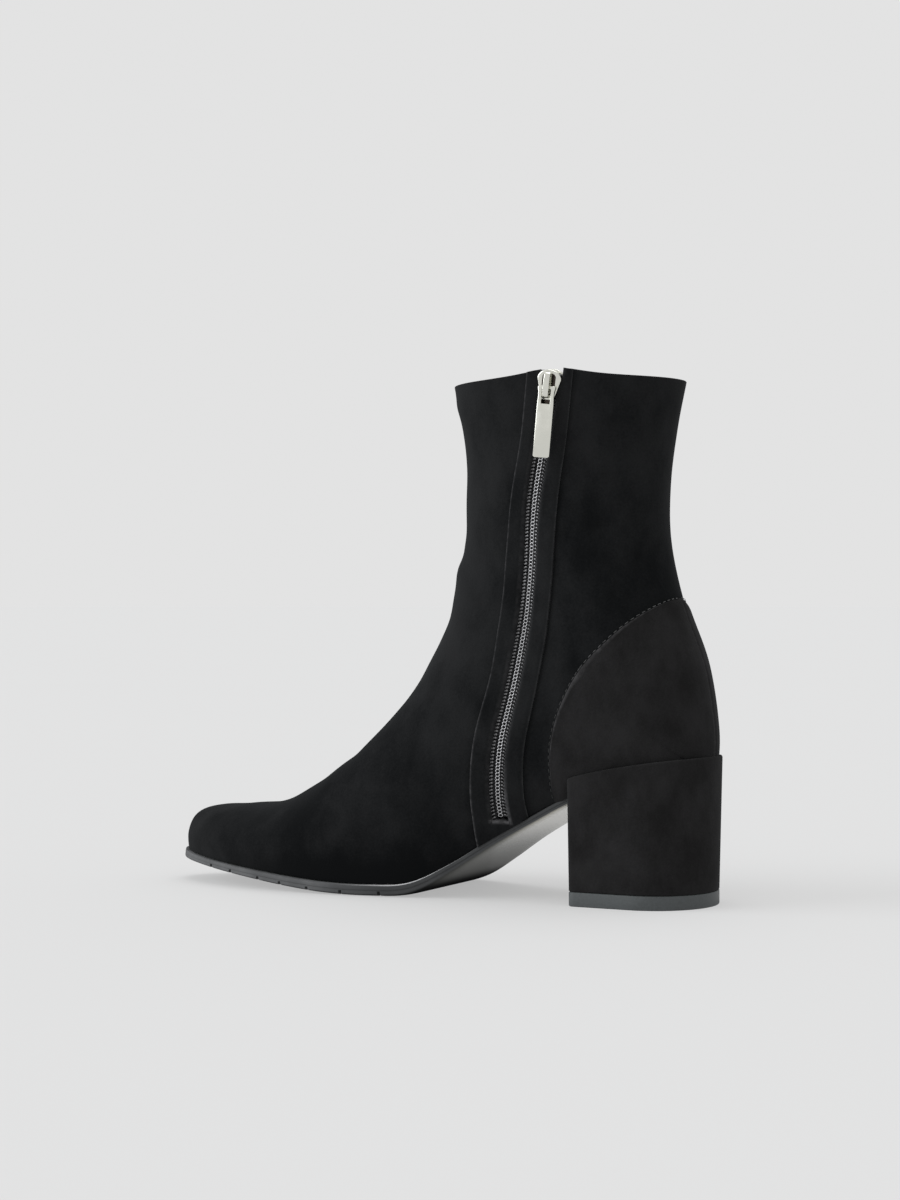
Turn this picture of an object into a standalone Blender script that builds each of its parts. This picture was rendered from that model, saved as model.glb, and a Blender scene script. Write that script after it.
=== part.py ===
"""Suede ankle boot for the right foot, with a block heel and a zip on its inner side.

Metres, +X towards the toe, +Y towards the inner side of the foot, +Z up. The origin is the middle of
the boot's outline, on the floor that it stands on. The tables are in millimetres: x from the back of
the heel, y from the heel's middle line and z from the floor.
"""

import math
from collections import namedtuple

import bmesh
import bpy
import numpy as np
from mathutils import Matrix, Vector
from mathutils.bvhtree import BVHTree

MM = 0.001
WELD = 0.005 * MM

# General fit and wall sizes, in millimetres
GAP = 0.3
WALL = 1.8
INSOLE_THICKNESS = 2.5
INSOLE_INSET = 2.8
SHARP_EDGE = 40.0

# Counter: height above the feather line, the x where its sheet starts, and the reach of its outline cutter
COUNTER_GAP = 0.4
COUNTER_THICKNESS = 1.2
COUNTER_LIFT = 1.0
COUNTER_SHEET_X = 80.0
COUNTER_REACH_BACK = 20.0
COUNTER_REACH_SIDE = 60.0
COUNTER_EDGE_STEPS = 4

# Collar: how far it peaks at the zip, and how far the peak spreads
COLLAR_PEAK = 3.8
COLLAR_PEAK_SPREAD = 15.0
COLLAR_PEAK_X = 54.0
COLLAR_PEAK_ROWS = 4.0
COLLAR_HALF_WIDTH = 32.0

# Outsole
FOREPART_THICKNESS = 4.9
TOE_THICKNESS = 3.4
WAIST_THICKNESS = 3.2
WAIST_END_X = 95.0
FOREPART_START_X = 125.0
BALL_X = 150.0
TOE_X = 232.0
FORE_MARGIN = 1.3
WAIST_MARGIN = 0.7
TREAD_GROOVES_X = (222.0, 211.5, 200.5, 190.0, 178.0, 164.0, 148.0)
TREAD_GROOVE_WIDTH = 1.5
TREAD_GROOVE_DEPTH = 2.1
TREAD_GROOVE_LENGTH = 120.0

# Heel
BREAST_X = 52.0
HEEL_ROUND_X = 26.0
HEEL_CORNER = 3.0
SEAT_DROP = 0.9
HEEL_BACK_STEPS = 24
HEEL_CORNER_STEPS = 4
RIM_BACK = 57.8
RIM_FRONT = 49.2
TOP_PIECE_THICKNESS = 5.6
TOP_PIECE_BEVEL = 0.5
BEVEL_ANGLE = 50.0

# Zip
SLIT_HALF_WIDTH = 3.4
SLIT_OVERRUN = 14.0
SLIT_DEPTH = 4.8
TAPE_HALF_WIDTH = 6.8
TAPE_END = 3.4
TEETH_END = 1.2
TAPE_THICKNESS = 0.6
TAPE_CLEARANCE = 0.6
TEETH_HALF_WIDTH = 2.55
TEETH_RISE = 0.5
ZIP_MIDDLE_GAP = 0.15
ZIP_START = 2.6
ZIP_OPENING = 1.6
ZIP_OPENING_START = 3.0
ZIP_OPENING_END = 9.0
ZIP_STEPS = 34

# Slider and pull tab
SLIDER_DISTANCE = 6.0
SLIDER_TOP = 5.0
SLIDER_BOTTOM = -6.8
SLIDER_HALF_WIDTH = 4.8
SLIDER_SHOULDER = 3.6
SLIDER_TAIL_HALF_WIDTH = 2.9
SLIDER_TAIL_ROUND = 1.2
SLIDER_NECK = 2.0
SLIDER_NECK_TOP = 4.2
SLIDER_FRONT = 1.0
SLIDER_PLATE = 1.2
BRIDGE_WIDTH = 2.4
BRIDGE_TOP = 4.2
BRIDGE_BOTTOM = -6.1
BRIDGE_HEIGHT = 5.3
BRIDGE_LEG = 1.2
BRIDGE_WINDOW_TOP = 4.4
BRIDGE_STEP = 0.1
HINGE_UP = -1.8
HINGE_OUT = 3.3
TAB_WIDTH = 6.6
TAB_LENGTH = 27.6
TAB_THICKNESS = 1.2
TAB_BAR = 0.7
TAB_EYE_WIDTH = 3.6
TAB_EYE_LENGTH = 6.3
TAB_LEAN = 0.55

# Each section of the last runs from its feather line, or from the back seam, to its front line.
# sole and wide are its edges at the feather line and at the widest place, inner side positive.
Section = namedtuple(
    "Section",
    "back_x back_z front_x front_z ridge_y sole_in sole_out wide_in wide_out widest crown",
)
SECTIONS = (
    Section(236.0, 13.4, 236.0, 17.6, 4.0, 4.0, 4.0, 4.0, 4.0, 0.40, 2.30),
    Section(234.4, 13.1, 234.4, 22.8, 4.0, 10.5, -2.5, 11.0, -3.0, 0.40, 2.30),
    Section(229.4, 12.3, 229.4, 28.4, 4.0, 16.9, -9.5, 18.0, -10.8, 0.40, 2.30),
    Section(220.8, 11.3, 220.8, 31.3, 4.0, 22.5, -17.0, 24.2, -19.3, 0.39, 2.30),
    Section(207.5, 9.9, 207.5, 32.4, 4.0, 28.0, -25.5, 30.5, -28.8, 0.37, 2.25),
    Section(190.8, 8.4, 190.8, 34.2, 4.0, 32.5, -33.0, 36.0, -37.0, 0.35, 2.15),
    Section(172.0, 6.7, 172.0, 42.3, 4.0, 35.2, -38.0, 38.6, -41.8, 0.33, 2.05),
    Section(154.0, 5.3, 156.0, 52.6, 4.0, 35.5, -40.0, 38.8, -43.0, 0.32, 1.95),
    Section(136.0, 4.9, 144.3, 62.2, 3.5, 33.3, -39.0, 37.0, -41.6, 0.33, 1.90),
    Section(119.0, 6.2, 134.2, 71.8, 3.0, 29.8, -37.0, 35.0, -39.5, 0.35, 1.90),
    Section(103.0, 13.8, 126.2, 82.2, 2.0, 25.8, -34.0, 33.0, -37.0, 0.37, 1.90),
    Section(87.0, 23.8, 119.8, 93.8, 1.5, 22.6, -30.2, 31.5, -34.8, 0.38, 1.90),
    Section(70.0, 33.4, 115.2, 105.4, 1.0, 21.0, -27.2, 31.0, -33.0, 0.39, 1.90),
    Section(52.0, 42.6, 112.2, 116.5, 0.5, 21.4, -24.8, 30.5, -31.5, 0.39, 1.95),
    Section(33.0, 48.6, 109.8, 127.0, 0.0, 22.3, -23.0, 30.0, -30.4, 0.39, 2.00),
    Section(16.0, 51.2, 107.6, 136.0, 0.0, 20.2, -20.2, 29.5, -29.8, 0.39, 2.00),
    Section(6.5, 52.2, 106.2, 143.0, 0.0, 11.6, -11.6, 29.3, -29.5, 0.39, 2.00),
    Section(3.4, 52.6, 105.2, 150.0, 0.0, 0.0, 0.0, 29.2, -29.3, 0.39, 2.00),
    Section(2.3, 66.0, 104.6, 157.5, 0.0, 0.0, 0.0, 29.2, -29.2, 0.41, 2.00),
    Section(6.2, 91.0, 104.6, 166.0, 0.0, 0.0, 0.0, 29.2, -29.2, 0.44, 2.00),
    Section(15.0, 115.0, 105.3, 174.5, 0.0, 0.0, 0.0, 29.3, -29.3, 0.47, 2.00),
    Section(20.6, 140.0, 106.4, 182.5, 0.0, 0.0, 0.0, 29.4, -29.4, 0.49, 2.00),
    Section(20.8, 163.0, 107.8, 190.0, 0.0, 0.0, 0.0, 30.0, -30.0, 0.50, 2.00),
    Section(18.0, 185.0, 109.3, 197.0, 0.0, 0.0, 0.0, 31.5, -31.5, 0.50, 2.00),
    Section(14.4, 203.0, 110.6, 203.0, 0.0, 0.0, 0.0, 33.0, -33.0, 0.50, 2.00),
)
SEAT_ROW = 17
LAST_ROW = len(SECTIONS) - 1
STEPS_PER_ROW = 2
FINE_STEPS = 40
LOW_STEPS = 7
HIGH_STEPS = 7

# Outsole ring: across is -1 at the outer edge and 1 at the inner one, level is a share of the thickness.
SolePoint = namedtuple("SolePoint", "across level")
SOLE_RING = (
    SolePoint(-0.985, 0.0),
    SolePoint(-1.0, 0.1),
    SolePoint(-1.0, 0.38),
    SolePoint(-0.985, 0.46),
    SolePoint(-0.985, 0.76),
    SolePoint(-0.93, 0.90),
    SolePoint(-0.72, 1.0),
    SolePoint(0.0, 1.0),
    SolePoint(0.72, 1.0),
    SolePoint(0.93, 0.90),
    SolePoint(0.985, 0.76),
    SolePoint(0.985, 0.46),
    SolePoint(1.0, 0.38),
    SolePoint(1.0, 0.1),
    SolePoint(0.985, 0.0),
)

# Heel outlines, from the floor up to the rim
HeelLevel = namedtuple("HeelLevel", "half_width back front")
HEEL_FOOT = HeelLevel(26.6, 1.2, 51.8)
HEEL_RIM = HeelLevel(27.8, 0.0, BREAST_X)

# Front edge of the counter, seen from the side, from the sole up to the back seam
EdgePoint = namedtuple("EdgePoint", "x z")
COUNTER_EDGE = (
    EdgePoint(59.0, 36.0),
    EdgePoint(58.8, 48.0),
    EdgePoint(57.4, 62.0),
    EdgePoint(53.2, 76.2),
    EdgePoint(45.6, 90.0),
    EdgePoint(35.0, 101.5),
    EdgePoint(24.0, 111.5),
    EdgePoint(12.8, 120.0),
    EdgePoint(0.0, 125.0),
)

# Middle line of the zip, seen from the side, from the collar down
ZIP_LINE = (
    EdgePoint(55.0, 207.0),
    EdgePoint(59.3, 183.0),
    EdgePoint(64.2, 157.0),
    EdgePoint(67.7, 122.0),
    EdgePoint(72.4, 88.0),
    EdgePoint(78.4, 62.0),
    EdgePoint(80.6, 44.0),
    EdgePoint(81.0, 31.5),
)

Finish = namedtuple("Finish", "colour roughness metallic")
FINISHES = {
    "suede": Finish((0.011, 0.0105, 0.012), 0.95, 0.0),
    "sole_rubber": Finish((0.045, 0.045, 0.045), 0.6, 0.0),
    "top_piece_rubber": Finish((0.06, 0.065, 0.067), 0.55, 0.0),
    "sock_lining": Finish((0.02, 0.02, 0.02), 0.8, 0.0),
    "zip_tape": Finish((0.008, 0.008, 0.009), 0.9, 0.0),
    "zip_coil": Finish((0.05, 0.05, 0.052), 0.4, 0.3),
    "nickel": Finish((0.62, 0.61, 0.58), 0.25, 1.0),
}


def follow(values, at):
    """A smooth curve through a column's values, read at fractional row numbers."""
    values = np.asarray(values, float)
    slopes = np.gradient(values)
    at = np.asarray(at, float)
    row = np.clip(np.floor(at).astype(int), 0, len(values) - 2)
    u = at - row
    start = (1 + 2 * u) * (1 - u) ** 2 * values[row] + u * (1 - u) ** 2 * slopes[row]
    end = u**2 * (3 - 2 * u) * values[row + 1] - u**2 * (1 - u) * slopes[row + 1]
    return start + end


def smooth_step(low, high, value):
    u = np.clip((value - low) / (high - low), 0.0, 1.0)
    return u * u * (3 - 2 * u)


def sections_at(at):
    return Section(*(follow(column, at) for column in zip(*SECTIONS)))


def row_where_sole_is(x):
    """The fractional row whose feather point lies at this x."""
    at = np.linspace(0, SEAT_ROW, FINE_STEPS * SEAT_ROW + 1)
    return np.interp(-x, -sections_at(at).back_x, at)


def feather_height(x):
    return sections_at(row_where_sole_is(x)).back_z


def side_of_arch(section, side, sole, wide):
    """y along one side of each arch, from the feather line to the ridge."""
    low = np.linspace(0, math.pi / 2, LOW_STEPS + 1)
    high = np.linspace(0, math.pi / 2, HIGH_STEPS + 1)[1:]
    foot = np.maximum(side * (sole - section.ridge_y), 0.0)[:, None]
    wide = (side * (wide - section.ridge_y))[:, None]
    below = np.sqrt(foot**2 + (wide**2 - foot**2) * np.sin(low) ** 2)
    above = wide * np.abs(np.cos(high)) ** (2 / section.crown[:, None])
    return section.ridge_y[:, None] + side * np.hstack([below, above])


def upper_skin(at):
    """The upper's outer face: one arch a row, from the inner feather edge over to the outer one."""
    section = sections_at(at)
    low = np.linspace(0, math.pi / 2, LOW_STEPS + 1)
    high = np.linspace(0, math.pi / 2, HIGH_STEPS + 1)[1:]
    widest = section.widest[:, None]
    climb = np.hstack([widest * (1 - np.cos(low)), widest + (1 - widest) * np.sin(high)])
    inner = side_of_arch(section, 1, section.sole_in, section.wide_in)
    outer = side_of_arch(section, -1, section.sole_out, section.wide_out)
    climb = np.hstack([climb, climb[:, -2::-1]])
    y = np.hstack([inner, outer[:, -2::-1]])
    x = section.back_x[:, None] + (section.front_x - section.back_x)[:, None] * climb
    z = section.back_z[:, None] + (section.front_z - section.back_z)[:, None] * climb
    rise = np.clip((np.asarray(at) - LAST_ROW + COLLAR_PEAK_ROWS) / COLLAR_PEAK_ROWS, 0, 1)
    bell = 1 / (1 + ((x - COLLAR_PEAK_X) / COLLAR_PEAK_SPREAD) ** 2)
    z += COLLAR_PEAK * rise[:, None] ** 2 * bell * np.clip(y / COLLAR_HALF_WIDTH, 0, 1)
    return np.stack([x, y, z], axis=-1)


def skin_normals(skin):
    """Outward normals of a skin's points, the same on both sides of the back seam."""
    normals = np.cross(np.gradient(skin, axis=0), np.gradient(skin, axis=1))
    closed = np.linalg.norm(skin[:, 0] - skin[:, -1], axis=1) < GAP
    seam = normals[closed, 0] + normals[closed, -1]
    normals[closed, 0] = seam
    normals[closed, -1] = seam
    return normals / np.linalg.norm(normals, axis=-1, keepdims=True)


def weld(mesh, closed):
    bm = bmesh.new()
    bm.from_mesh(mesh)
    bmesh.ops.remove_doubles(bm, verts=bm.verts, dist=WELD)
    if closed:
        bmesh.ops.recalc_face_normals(bm, faces=bm.faces)
    bm.to_mesh(mesh)
    bm.free()
    return mesh


def sheet_mesh(name, grid):
    """An open surface over a grid of points in millimetres."""
    rows, columns = grid.shape[:2]
    index = np.arange(rows * columns).reshape(rows, columns)
    corners = (index[:-1, :-1], index[1:, :-1], index[1:, 1:], index[:-1, 1:])
    faces = np.stack(corners, axis=-1).reshape(-1, 4)
    mesh = bpy.data.meshes.new(name)
    mesh.from_pydata((grid.reshape(-1, 3) * MM).tolist(), [], faces.tolist())
    return weld(mesh, closed=False)


def loft_mesh(name, rings):
    """A closed solid through rings of points in millimetres, capped at both ends."""
    rings = np.asarray(rings, float)
    count, size = rings.shape[:2]
    index = np.arange(count * size).reshape(count, size)
    after = np.roll(index, -1, axis=1)
    corners = (index[:-1], after[:-1], after[1:], index[1:])
    faces = np.stack(corners, axis=-1).reshape(-1, 4).tolist()
    faces.append(index[0].tolist())
    faces.append(index[-1].tolist())
    mesh = bpy.data.meshes.new(name)
    mesh.from_pydata((rings.reshape(-1, 3) * MM).tolist(), [], faces)
    return weld(mesh, closed=True)


def prism_mesh(name, outline, low, high):
    """A flat outline of (x, y) points in millimetres, raised from low to high."""
    outline = np.asarray(outline, float)
    rings = [np.column_stack([outline, np.full(len(outline), level)]) for level in (low, high)]
    return loft_mesh(name, rings)


def make_material(name):
    finish = FINISHES[name]
    material = bpy.data.materials.new(name)
    material.use_nodes = True
    shader = material.node_tree.nodes["Principled BSDF"]
    shader.inputs["Base Color"].default_value = (*finish.colour, 1.0)
    shader.inputs["Roughness"].default_value = finish.roughness
    shader.inputs["Metallic"].default_value = finish.metallic
    return material


class Boot:
    """Collections, the root empty and the materials that the pieces share."""

    def __init__(self):
        for old in list(bpy.data.objects):
            bpy.data.objects.remove(old, do_unlink=True)
        self.parts = bpy.data.collections.new("ankle_boot")
        self.cutters = bpy.data.collections.new("ankle_boot_cutters")
        for collection in (self.parts, self.cutters):
            bpy.context.scene.collection.children.link(collection)
        self.root = bpy.data.objects.new("ankle_boot_origin", None)
        self.parts.objects.link(self.root)
        self.materials = {name: make_material(name) for name in FINISHES}

    def part(self, name, mesh, finish):
        piece = bpy.data.objects.new(name, mesh)
        mesh.materials.append(self.materials[finish])
        mesh.shade_smooth()
        mesh.set_sharp_from_angle(angle=math.radians(SHARP_EDGE))
        self.parts.objects.link(piece)
        piece.parent = self.root
        return piece

    def cutter(self, name, mesh):
        piece = bpy.data.objects.new(name, mesh)
        self.cutters.objects.link(piece)
        piece.parent = self.root
        piece.hide_render = True
        piece.display_type = "WIRE"
        return piece


def boolean(piece, cutter, operation):
    modifier = piece.modifiers.new(f"{operation.lower()} {cutter.name}", "BOOLEAN")
    modifier.operation = operation
    modifier.solver = "EXACT"
    modifier.object = cutter


def bevel(piece, width, segments=2):
    modifier = piece.modifiers.new("bevel", "BEVEL")
    modifier.width = width * MM
    modifier.segments = segments
    modifier.limit_method = "ANGLE"
    modifier.angle_limit = math.radians(BEVEL_ANGLE)


def thicken(piece, thickness, offset):
    """Gives an open sheet its wall: offset -1 grows it inwards and 1 outwards."""
    modifier = piece.modifiers.new("wall", "SOLIDIFY")
    modifier.thickness = thickness * MM
    modifier.offset = offset
    modifier.use_even_offset = True


def plan_outline(at, margin):
    """Inner and outer edges of the feather line in plan, moved outwards by margin."""
    section = sections_at(at)
    inner = np.column_stack([section.back_x, np.maximum(section.sole_in, section.ridge_y)])
    outer = np.column_stack([section.back_x, np.minimum(section.sole_out, section.ridge_y)])
    path = np.vstack([outer[::-1], inner[1:]])
    margin = np.broadcast_to(margin, len(at))
    moved = np.concatenate([margin[::-1], margin[1:]])[:, None]
    if np.allclose(path[0], path[-1]):
        tangent = np.gradient(np.vstack([path[-2], path, path[1]]), axis=0)[1:-1]
    else:
        tangent = np.gradient(path, axis=0)
    tangent /= np.linalg.norm(tangent, axis=1, keepdims=True)
    path = path + moved * np.column_stack([tangent[:, 1], -tangent[:, 0]])
    return path[len(at) - 1 :], path[: len(at)][::-1]


def build_upper(boot):
    at = np.linspace(0, LAST_ROW, STEPS_PER_ROW * LAST_ROW + 1)
    upper = boot.part("upper", sheet_mesh("upper", upper_skin(at)), "suede")
    thicken(upper, WALL, -1)
    return upper


def build_counter(boot):
    """The counter lies over the upper, between two offsets of its skin, inside its own outline."""
    first = row_where_sole_is(COUNTER_SHEET_X)
    half_rows = np.arange(math.ceil(first * STEPS_PER_ROW), STEPS_PER_ROW * (LAST_ROW - 2) + 1)
    at = np.append(first, half_rows / STEPS_PER_ROW)
    skin = upper_skin(at)
    skin = skin + COUNTER_GAP * skin_normals(skin)
    counter = boot.part("heel_counter", sheet_mesh("heel_counter", skin), "suede")
    thicken(counter, COUNTER_THICKNESS, 1)
    corners = len(COUNTER_EDGE) - 1
    rows = np.linspace(0, corners, COUNTER_EDGE_STEPS * corners + 1)
    edge = np.column_stack([follow(column, rows) for column in zip(*COUNTER_EDGE)])
    seat = sections_at(np.arange(SEAT_ROW, first, -1 / STEPS_PER_ROW))
    floor = np.column_stack([seat.back_x, seat.back_z + COUNTER_LIFT])
    floor = floor[floor[:, 0] < edge[0, 0]]
    behind = -COUNTER_REACH_BACK
    outline = np.vstack([edge[1:], [behind, edge[-1, 1]], [behind, floor[0, 1]], floor])
    sides = (COUNTER_REACH_SIDE, -COUNTER_REACH_SIDE)
    rings = [np.insert(outline, 1, side, axis=1) for side in sides]
    cutter = boot.cutter("counter_outline", loft_mesh("counter_outline", rings))
    boolean(counter, cutter, "INTERSECT")


def build_insole(boot):
    at = np.linspace(0, SEAT_ROW, 2 * SEAT_ROW + 1)
    inner, outer = plan_outline(at, -INSOLE_INSET)
    edges = ((inner, INSOLE_THICKNESS), (outer, INSOLE_THICKNESS), (outer, 0.0), (inner, 0.0))
    rings = [np.column_stack([edge, feather_height(edge[:, 0]) + level]) for edge, level in edges]
    rings = np.stack(rings, axis=1)
    boot.part("insole", loft_mesh("insole", rings), "sock_lining")


def sole_rings(at):
    section = sections_at(at)
    x = section.back_x
    toe_share = smooth_step(BALL_X, TOE_X, x)
    fore_share = smooth_step(WAIST_END_X, FOREPART_START_X, x)
    margin = WAIST_MARGIN + (FORE_MARGIN - WAIST_MARGIN) * fore_share
    thickness = WAIST_THICKNESS + (FOREPART_THICKNESS - WAIST_THICKNESS) * fore_share
    thickness -= (FOREPART_THICKNESS - TOE_THICKNESS) * toe_share
    inner, outer = plan_outline(at, margin)
    slope = np.column_stack([np.gradient(x), np.gradient(section.back_z)])
    slope /= np.linalg.norm(slope, axis=1, keepdims=True)
    down = np.column_stack([-slope[:, 1], np.zeros(len(at)), slope[:, 0]])
    rings = []
    for point in SOLE_RING:
        plan = outer + (inner - outer) * (point.across + 1) / 2
        top = np.column_stack([plan, section.back_z - GAP])
        rings.append(top + down * (thickness * point.level)[:, None])
    rings = np.stack(rings, axis=1)
    rings[..., 2] = np.maximum(rings[..., 2], 0.0)
    return rings


def build_outsole(boot):
    last = row_where_sole_is(BREAST_X + GAP)
    at = np.append(np.arange(0, math.floor(last * 2) + 1) / 2, last)
    rings = sole_rings(at)
    rings[-1, :, 0] = BREAST_X + GAP
    outsole = boot.part("outsole", loft_mesh("outsole", rings), "sole_rubber")
    underside = np.array([ring[len(SOLE_RING) // 2] for ring in rings])
    grooves = bpy.data.meshes.new("tread_grooves")
    bm = bmesh.new()
    for x in TREAD_GROOVES_X:
        z = np.interp(-x, -underside[:, 0], underside[:, 2])
        size = Vector((TREAD_GROOVE_WIDTH, TREAD_GROOVE_LENGTH, 2 * TREAD_GROOVE_DEPTH)) * MM
        place = Matrix.LocRotScale(Vector((x, 0, z)) * MM, None, size)
        bmesh.ops.create_cube(bm, size=1, matrix=place)
    bm.to_mesh(grooves)
    bm.free()
    boolean(outsole, boot.cutter("tread_grooves", grooves), "DIFFERENCE")


def heel_outline(level):
    """A straight breast with rounded corners, nearly straight sides and a round back."""
    back = np.linspace(-math.pi / 2, math.pi / 2, HEEL_BACK_STEPS + 1)
    depth = HEEL_ROUND_X - level.back
    points = [(HEEL_ROUND_X - depth * math.cos(a), -level.half_width * math.sin(a)) for a in back]
    corner = np.linspace(0, math.pi / 2, HEEL_CORNER_STEPS + 1)
    x = level.front - HEEL_CORNER
    y = level.half_width - HEEL_CORNER
    points += [(x + HEEL_CORNER * math.sin(a), -y - HEEL_CORNER * math.cos(a)) for a in corner]
    points += [(x + HEEL_CORNER * math.cos(a), y + HEEL_CORNER * math.sin(a)) for a in corner]
    return np.array(points)


def seat_form(boot):
    """The lasted heel with its counter and the fit gap: what the heel's cup has to take."""
    at = np.arange(2 * (SEAT_ROW - 6), 2 * (SEAT_ROW + 3) + 1) / STEPS_PER_ROW
    skin = upper_skin(at)
    feather = skin[:, [0, -1]]
    skin = skin + (COUNTER_GAP + COUNTER_THICKNESS + GAP) * skin_normals(skin)
    skin[:, [0, -1], 0] = np.minimum(skin[:, [0, -1], 0], feather[..., 0])
    skin[:, [0, -1], 2] = feather[..., 2] - SEAT_DROP
    return boot.cutter("seat_form", loft_mesh("seat_form", skin))


def build_heel(boot):
    foot = heel_outline(HEEL_FOOT)
    rim = heel_outline(HEEL_RIM)
    rim_height = RIM_BACK + (RIM_FRONT - RIM_BACK) * rim[:, 0] / BREAST_X
    low = np.column_stack([foot, np.full(len(foot), TOP_PIECE_THICKNESS + GAP)])
    high = np.column_stack([rim, rim_height])
    block = boot.part("heel_block", loft_mesh("heel_block", [low, high]), "suede")
    boolean(block, seat_form(boot), "DIFFERENCE")
    top_piece = boot.part(
        "heel_top_piece",
        prism_mesh("heel_top_piece", foot, 0.0, TOP_PIECE_THICKNESS),
        "top_piece_rubber",
    )
    bevel(top_piece, TOP_PIECE_BEVEL)


class ZipPath:
    """The zip's middle line laid on the inner side of the upper, read by distance from the collar."""

    def __init__(self):
        rows = np.linspace(0, len(ZIP_LINE) - 1, FINE_STEPS * len(ZIP_LINE))
        self.line = np.column_stack([follow(column, rows) for column in zip(*ZIP_LINE)])
        steps = np.linalg.norm(np.diff(self.line, axis=0), axis=1)
        self.distance = np.append(0, np.cumsum(steps))
        self.length = self.distance[-1]
        skin = upper_skin(np.linspace(0, LAST_ROW, 8 * LAST_ROW + 1))
        mesh = sheet_mesh("zip_side", skin)
        corners = [vertex.co.copy() for vertex in mesh.vertices]
        faces = [tuple(face.vertices) for face in mesh.polygons]
        self.tree = BVHTree.FromPolygons(corners, faces)
        bpy.data.meshes.remove(mesh)

    def depth(self, x, z):
        """y of the upper's inner side at this place in the side view."""
        start = Vector((x * MM, 0.1, z * MM))
        hit = self.tree.ray_cast(start, Vector((0, -1, 0)))[0]
        if hit is None:
            raise ValueError(f"the zip leaves the upper at x {x:.1f}, z {z:.1f}")
        return hit.y / MM

    def skin(self, x, z):
        """Point on the skin, and its outward normal."""
        step = 2.0
        along_x = (self.depth(x + step, z) - self.depth(x - step, z)) / (2 * step)
        along_z = (self.depth(x, z) - self.depth(x, z - step)) / step
        normal = np.array([-along_x, 1.0, -along_z])
        return np.array([x, self.depth(x, z), z]), normal / np.linalg.norm(normal)

    def middle(self, distance):
        return np.array([np.interp(distance, self.distance, column) for column in self.line.T])

    def tangent(self, distance):
        step = 1.0
        run = self.middle(min(distance + step, self.length)) - self.middle(max(distance - step, 0))
        return run / np.linalg.norm(run)

    def ring(self, distance, profile):
        """A profile of (across, out) points, across towards the toe, set on the skin at this distance."""
        x, z = self.middle(distance)
        run_x, run_z = self.tangent(distance)
        points = []
        for across, out in profile:
            point, normal = self.skin(x - across * run_z, z + across * run_x)
            points.append(point + out * normal)
        return np.array(points)

    def frame(self, distance):
        """Matrix whose X runs across the zip, Y up along it and Z out of the boot."""
        x, z = self.middle(distance)
        point, out = self.skin(x, z)
        below = self.skin(*self.middle(distance + 4.0))[0]
        up = Vector(point - below).normalized()
        across = up.cross(Vector(out)).normalized()
        out = across.cross(up)
        matrix = Matrix((across, up, out)).transposed().to_4x4()
        matrix.translation = Vector(point) * MM
        return matrix


def zip_opening(distance):
    """How far each half is parted round the slider's neck."""
    return ZIP_OPENING * (1 - smooth_step(ZIP_OPENING_START, ZIP_OPENING_END, distance))


def build_zip_opening(boot, path, upper):
    rings = []
    for distance in np.linspace(ZIP_START, path.length, ZIP_STEPS + 1):
        half = SLIT_HALF_WIDTH + zip_opening(distance)
        rings.append(path.ring(distance, box_outline(half, -SLIT_DEPTH, SLIT_DEPTH)))
    above = rings[0] + [0, 0, SLIT_OVERRUN]
    mesh = loft_mesh("zip_slit", [above, *rings])
    boolean(upper, boot.cutter("zip_slit", mesh), "DIFFERENCE")


def build_zip_halves(boot, path):
    tape_out = -(WALL + TAPE_CLEARANCE)
    tape_in = tape_out - TAPE_THICKNESS
    teeth_in = tape_out + GAP
    ridge = (ZIP_MIDDLE_GAP + TEETH_HALF_WIDTH) / 2
    for side, end in ((1, "front"), (-1, "rear")):
        tape = []
        for distance in np.linspace(ZIP_START, path.length - TAPE_END, ZIP_STEPS + 1):
            near = side * (ZIP_MIDDLE_GAP + zip_opening(distance))
            far = side * TAPE_HALF_WIDTH
            profile = ((near, tape_in), (far, tape_in), (far, tape_out), (near, tape_out))
            tape.append(path.ring(distance, profile))
        teeth = []
        for distance in np.linspace(ZIP_START, path.length - TEETH_END, ZIP_STEPS + 1):
            shift = zip_opening(distance)
            near = side * (ZIP_MIDDLE_GAP + shift)
            edge = side * (TEETH_HALF_WIDTH + shift)
            crest = side * (ridge + shift)
            profile = ((near, teeth_in), (edge, teeth_in), (edge, 0), (crest, TEETH_RISE), (near, 0))
            teeth.append(path.ring(distance, profile))
        boot.part(f"zip_tape_{end}", loft_mesh(f"zip_tape_{end}", tape), "zip_tape")
        boot.part(f"zip_teeth_{end}", loft_mesh(f"zip_teeth_{end}", teeth), "zip_coil")


def slider_outline():
    """Egg-shaped plate, broad at its top and narrow at its tail."""
    top = np.linspace(0, math.pi, 13)
    tail = np.linspace(math.pi, 2 * math.pi, 9)
    ends = (
        (top, SLIDER_HALF_WIDTH, SLIDER_SHOULDER, SLIDER_TOP - SLIDER_SHOULDER),
        (tail, SLIDER_TAIL_HALF_WIDTH, SLIDER_TAIL_ROUND, SLIDER_BOTTOM + SLIDER_TAIL_ROUND),
    )
    points = []
    for turn, half_width, height, level in ends:
        points += [(half_width * math.cos(a), level + height * math.sin(a)) for a in turn]
    return points


def box_outline(half_width, low, high):
    return [(-half_width, low), (half_width, low), (half_width, high), (-half_width, high)]


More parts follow.
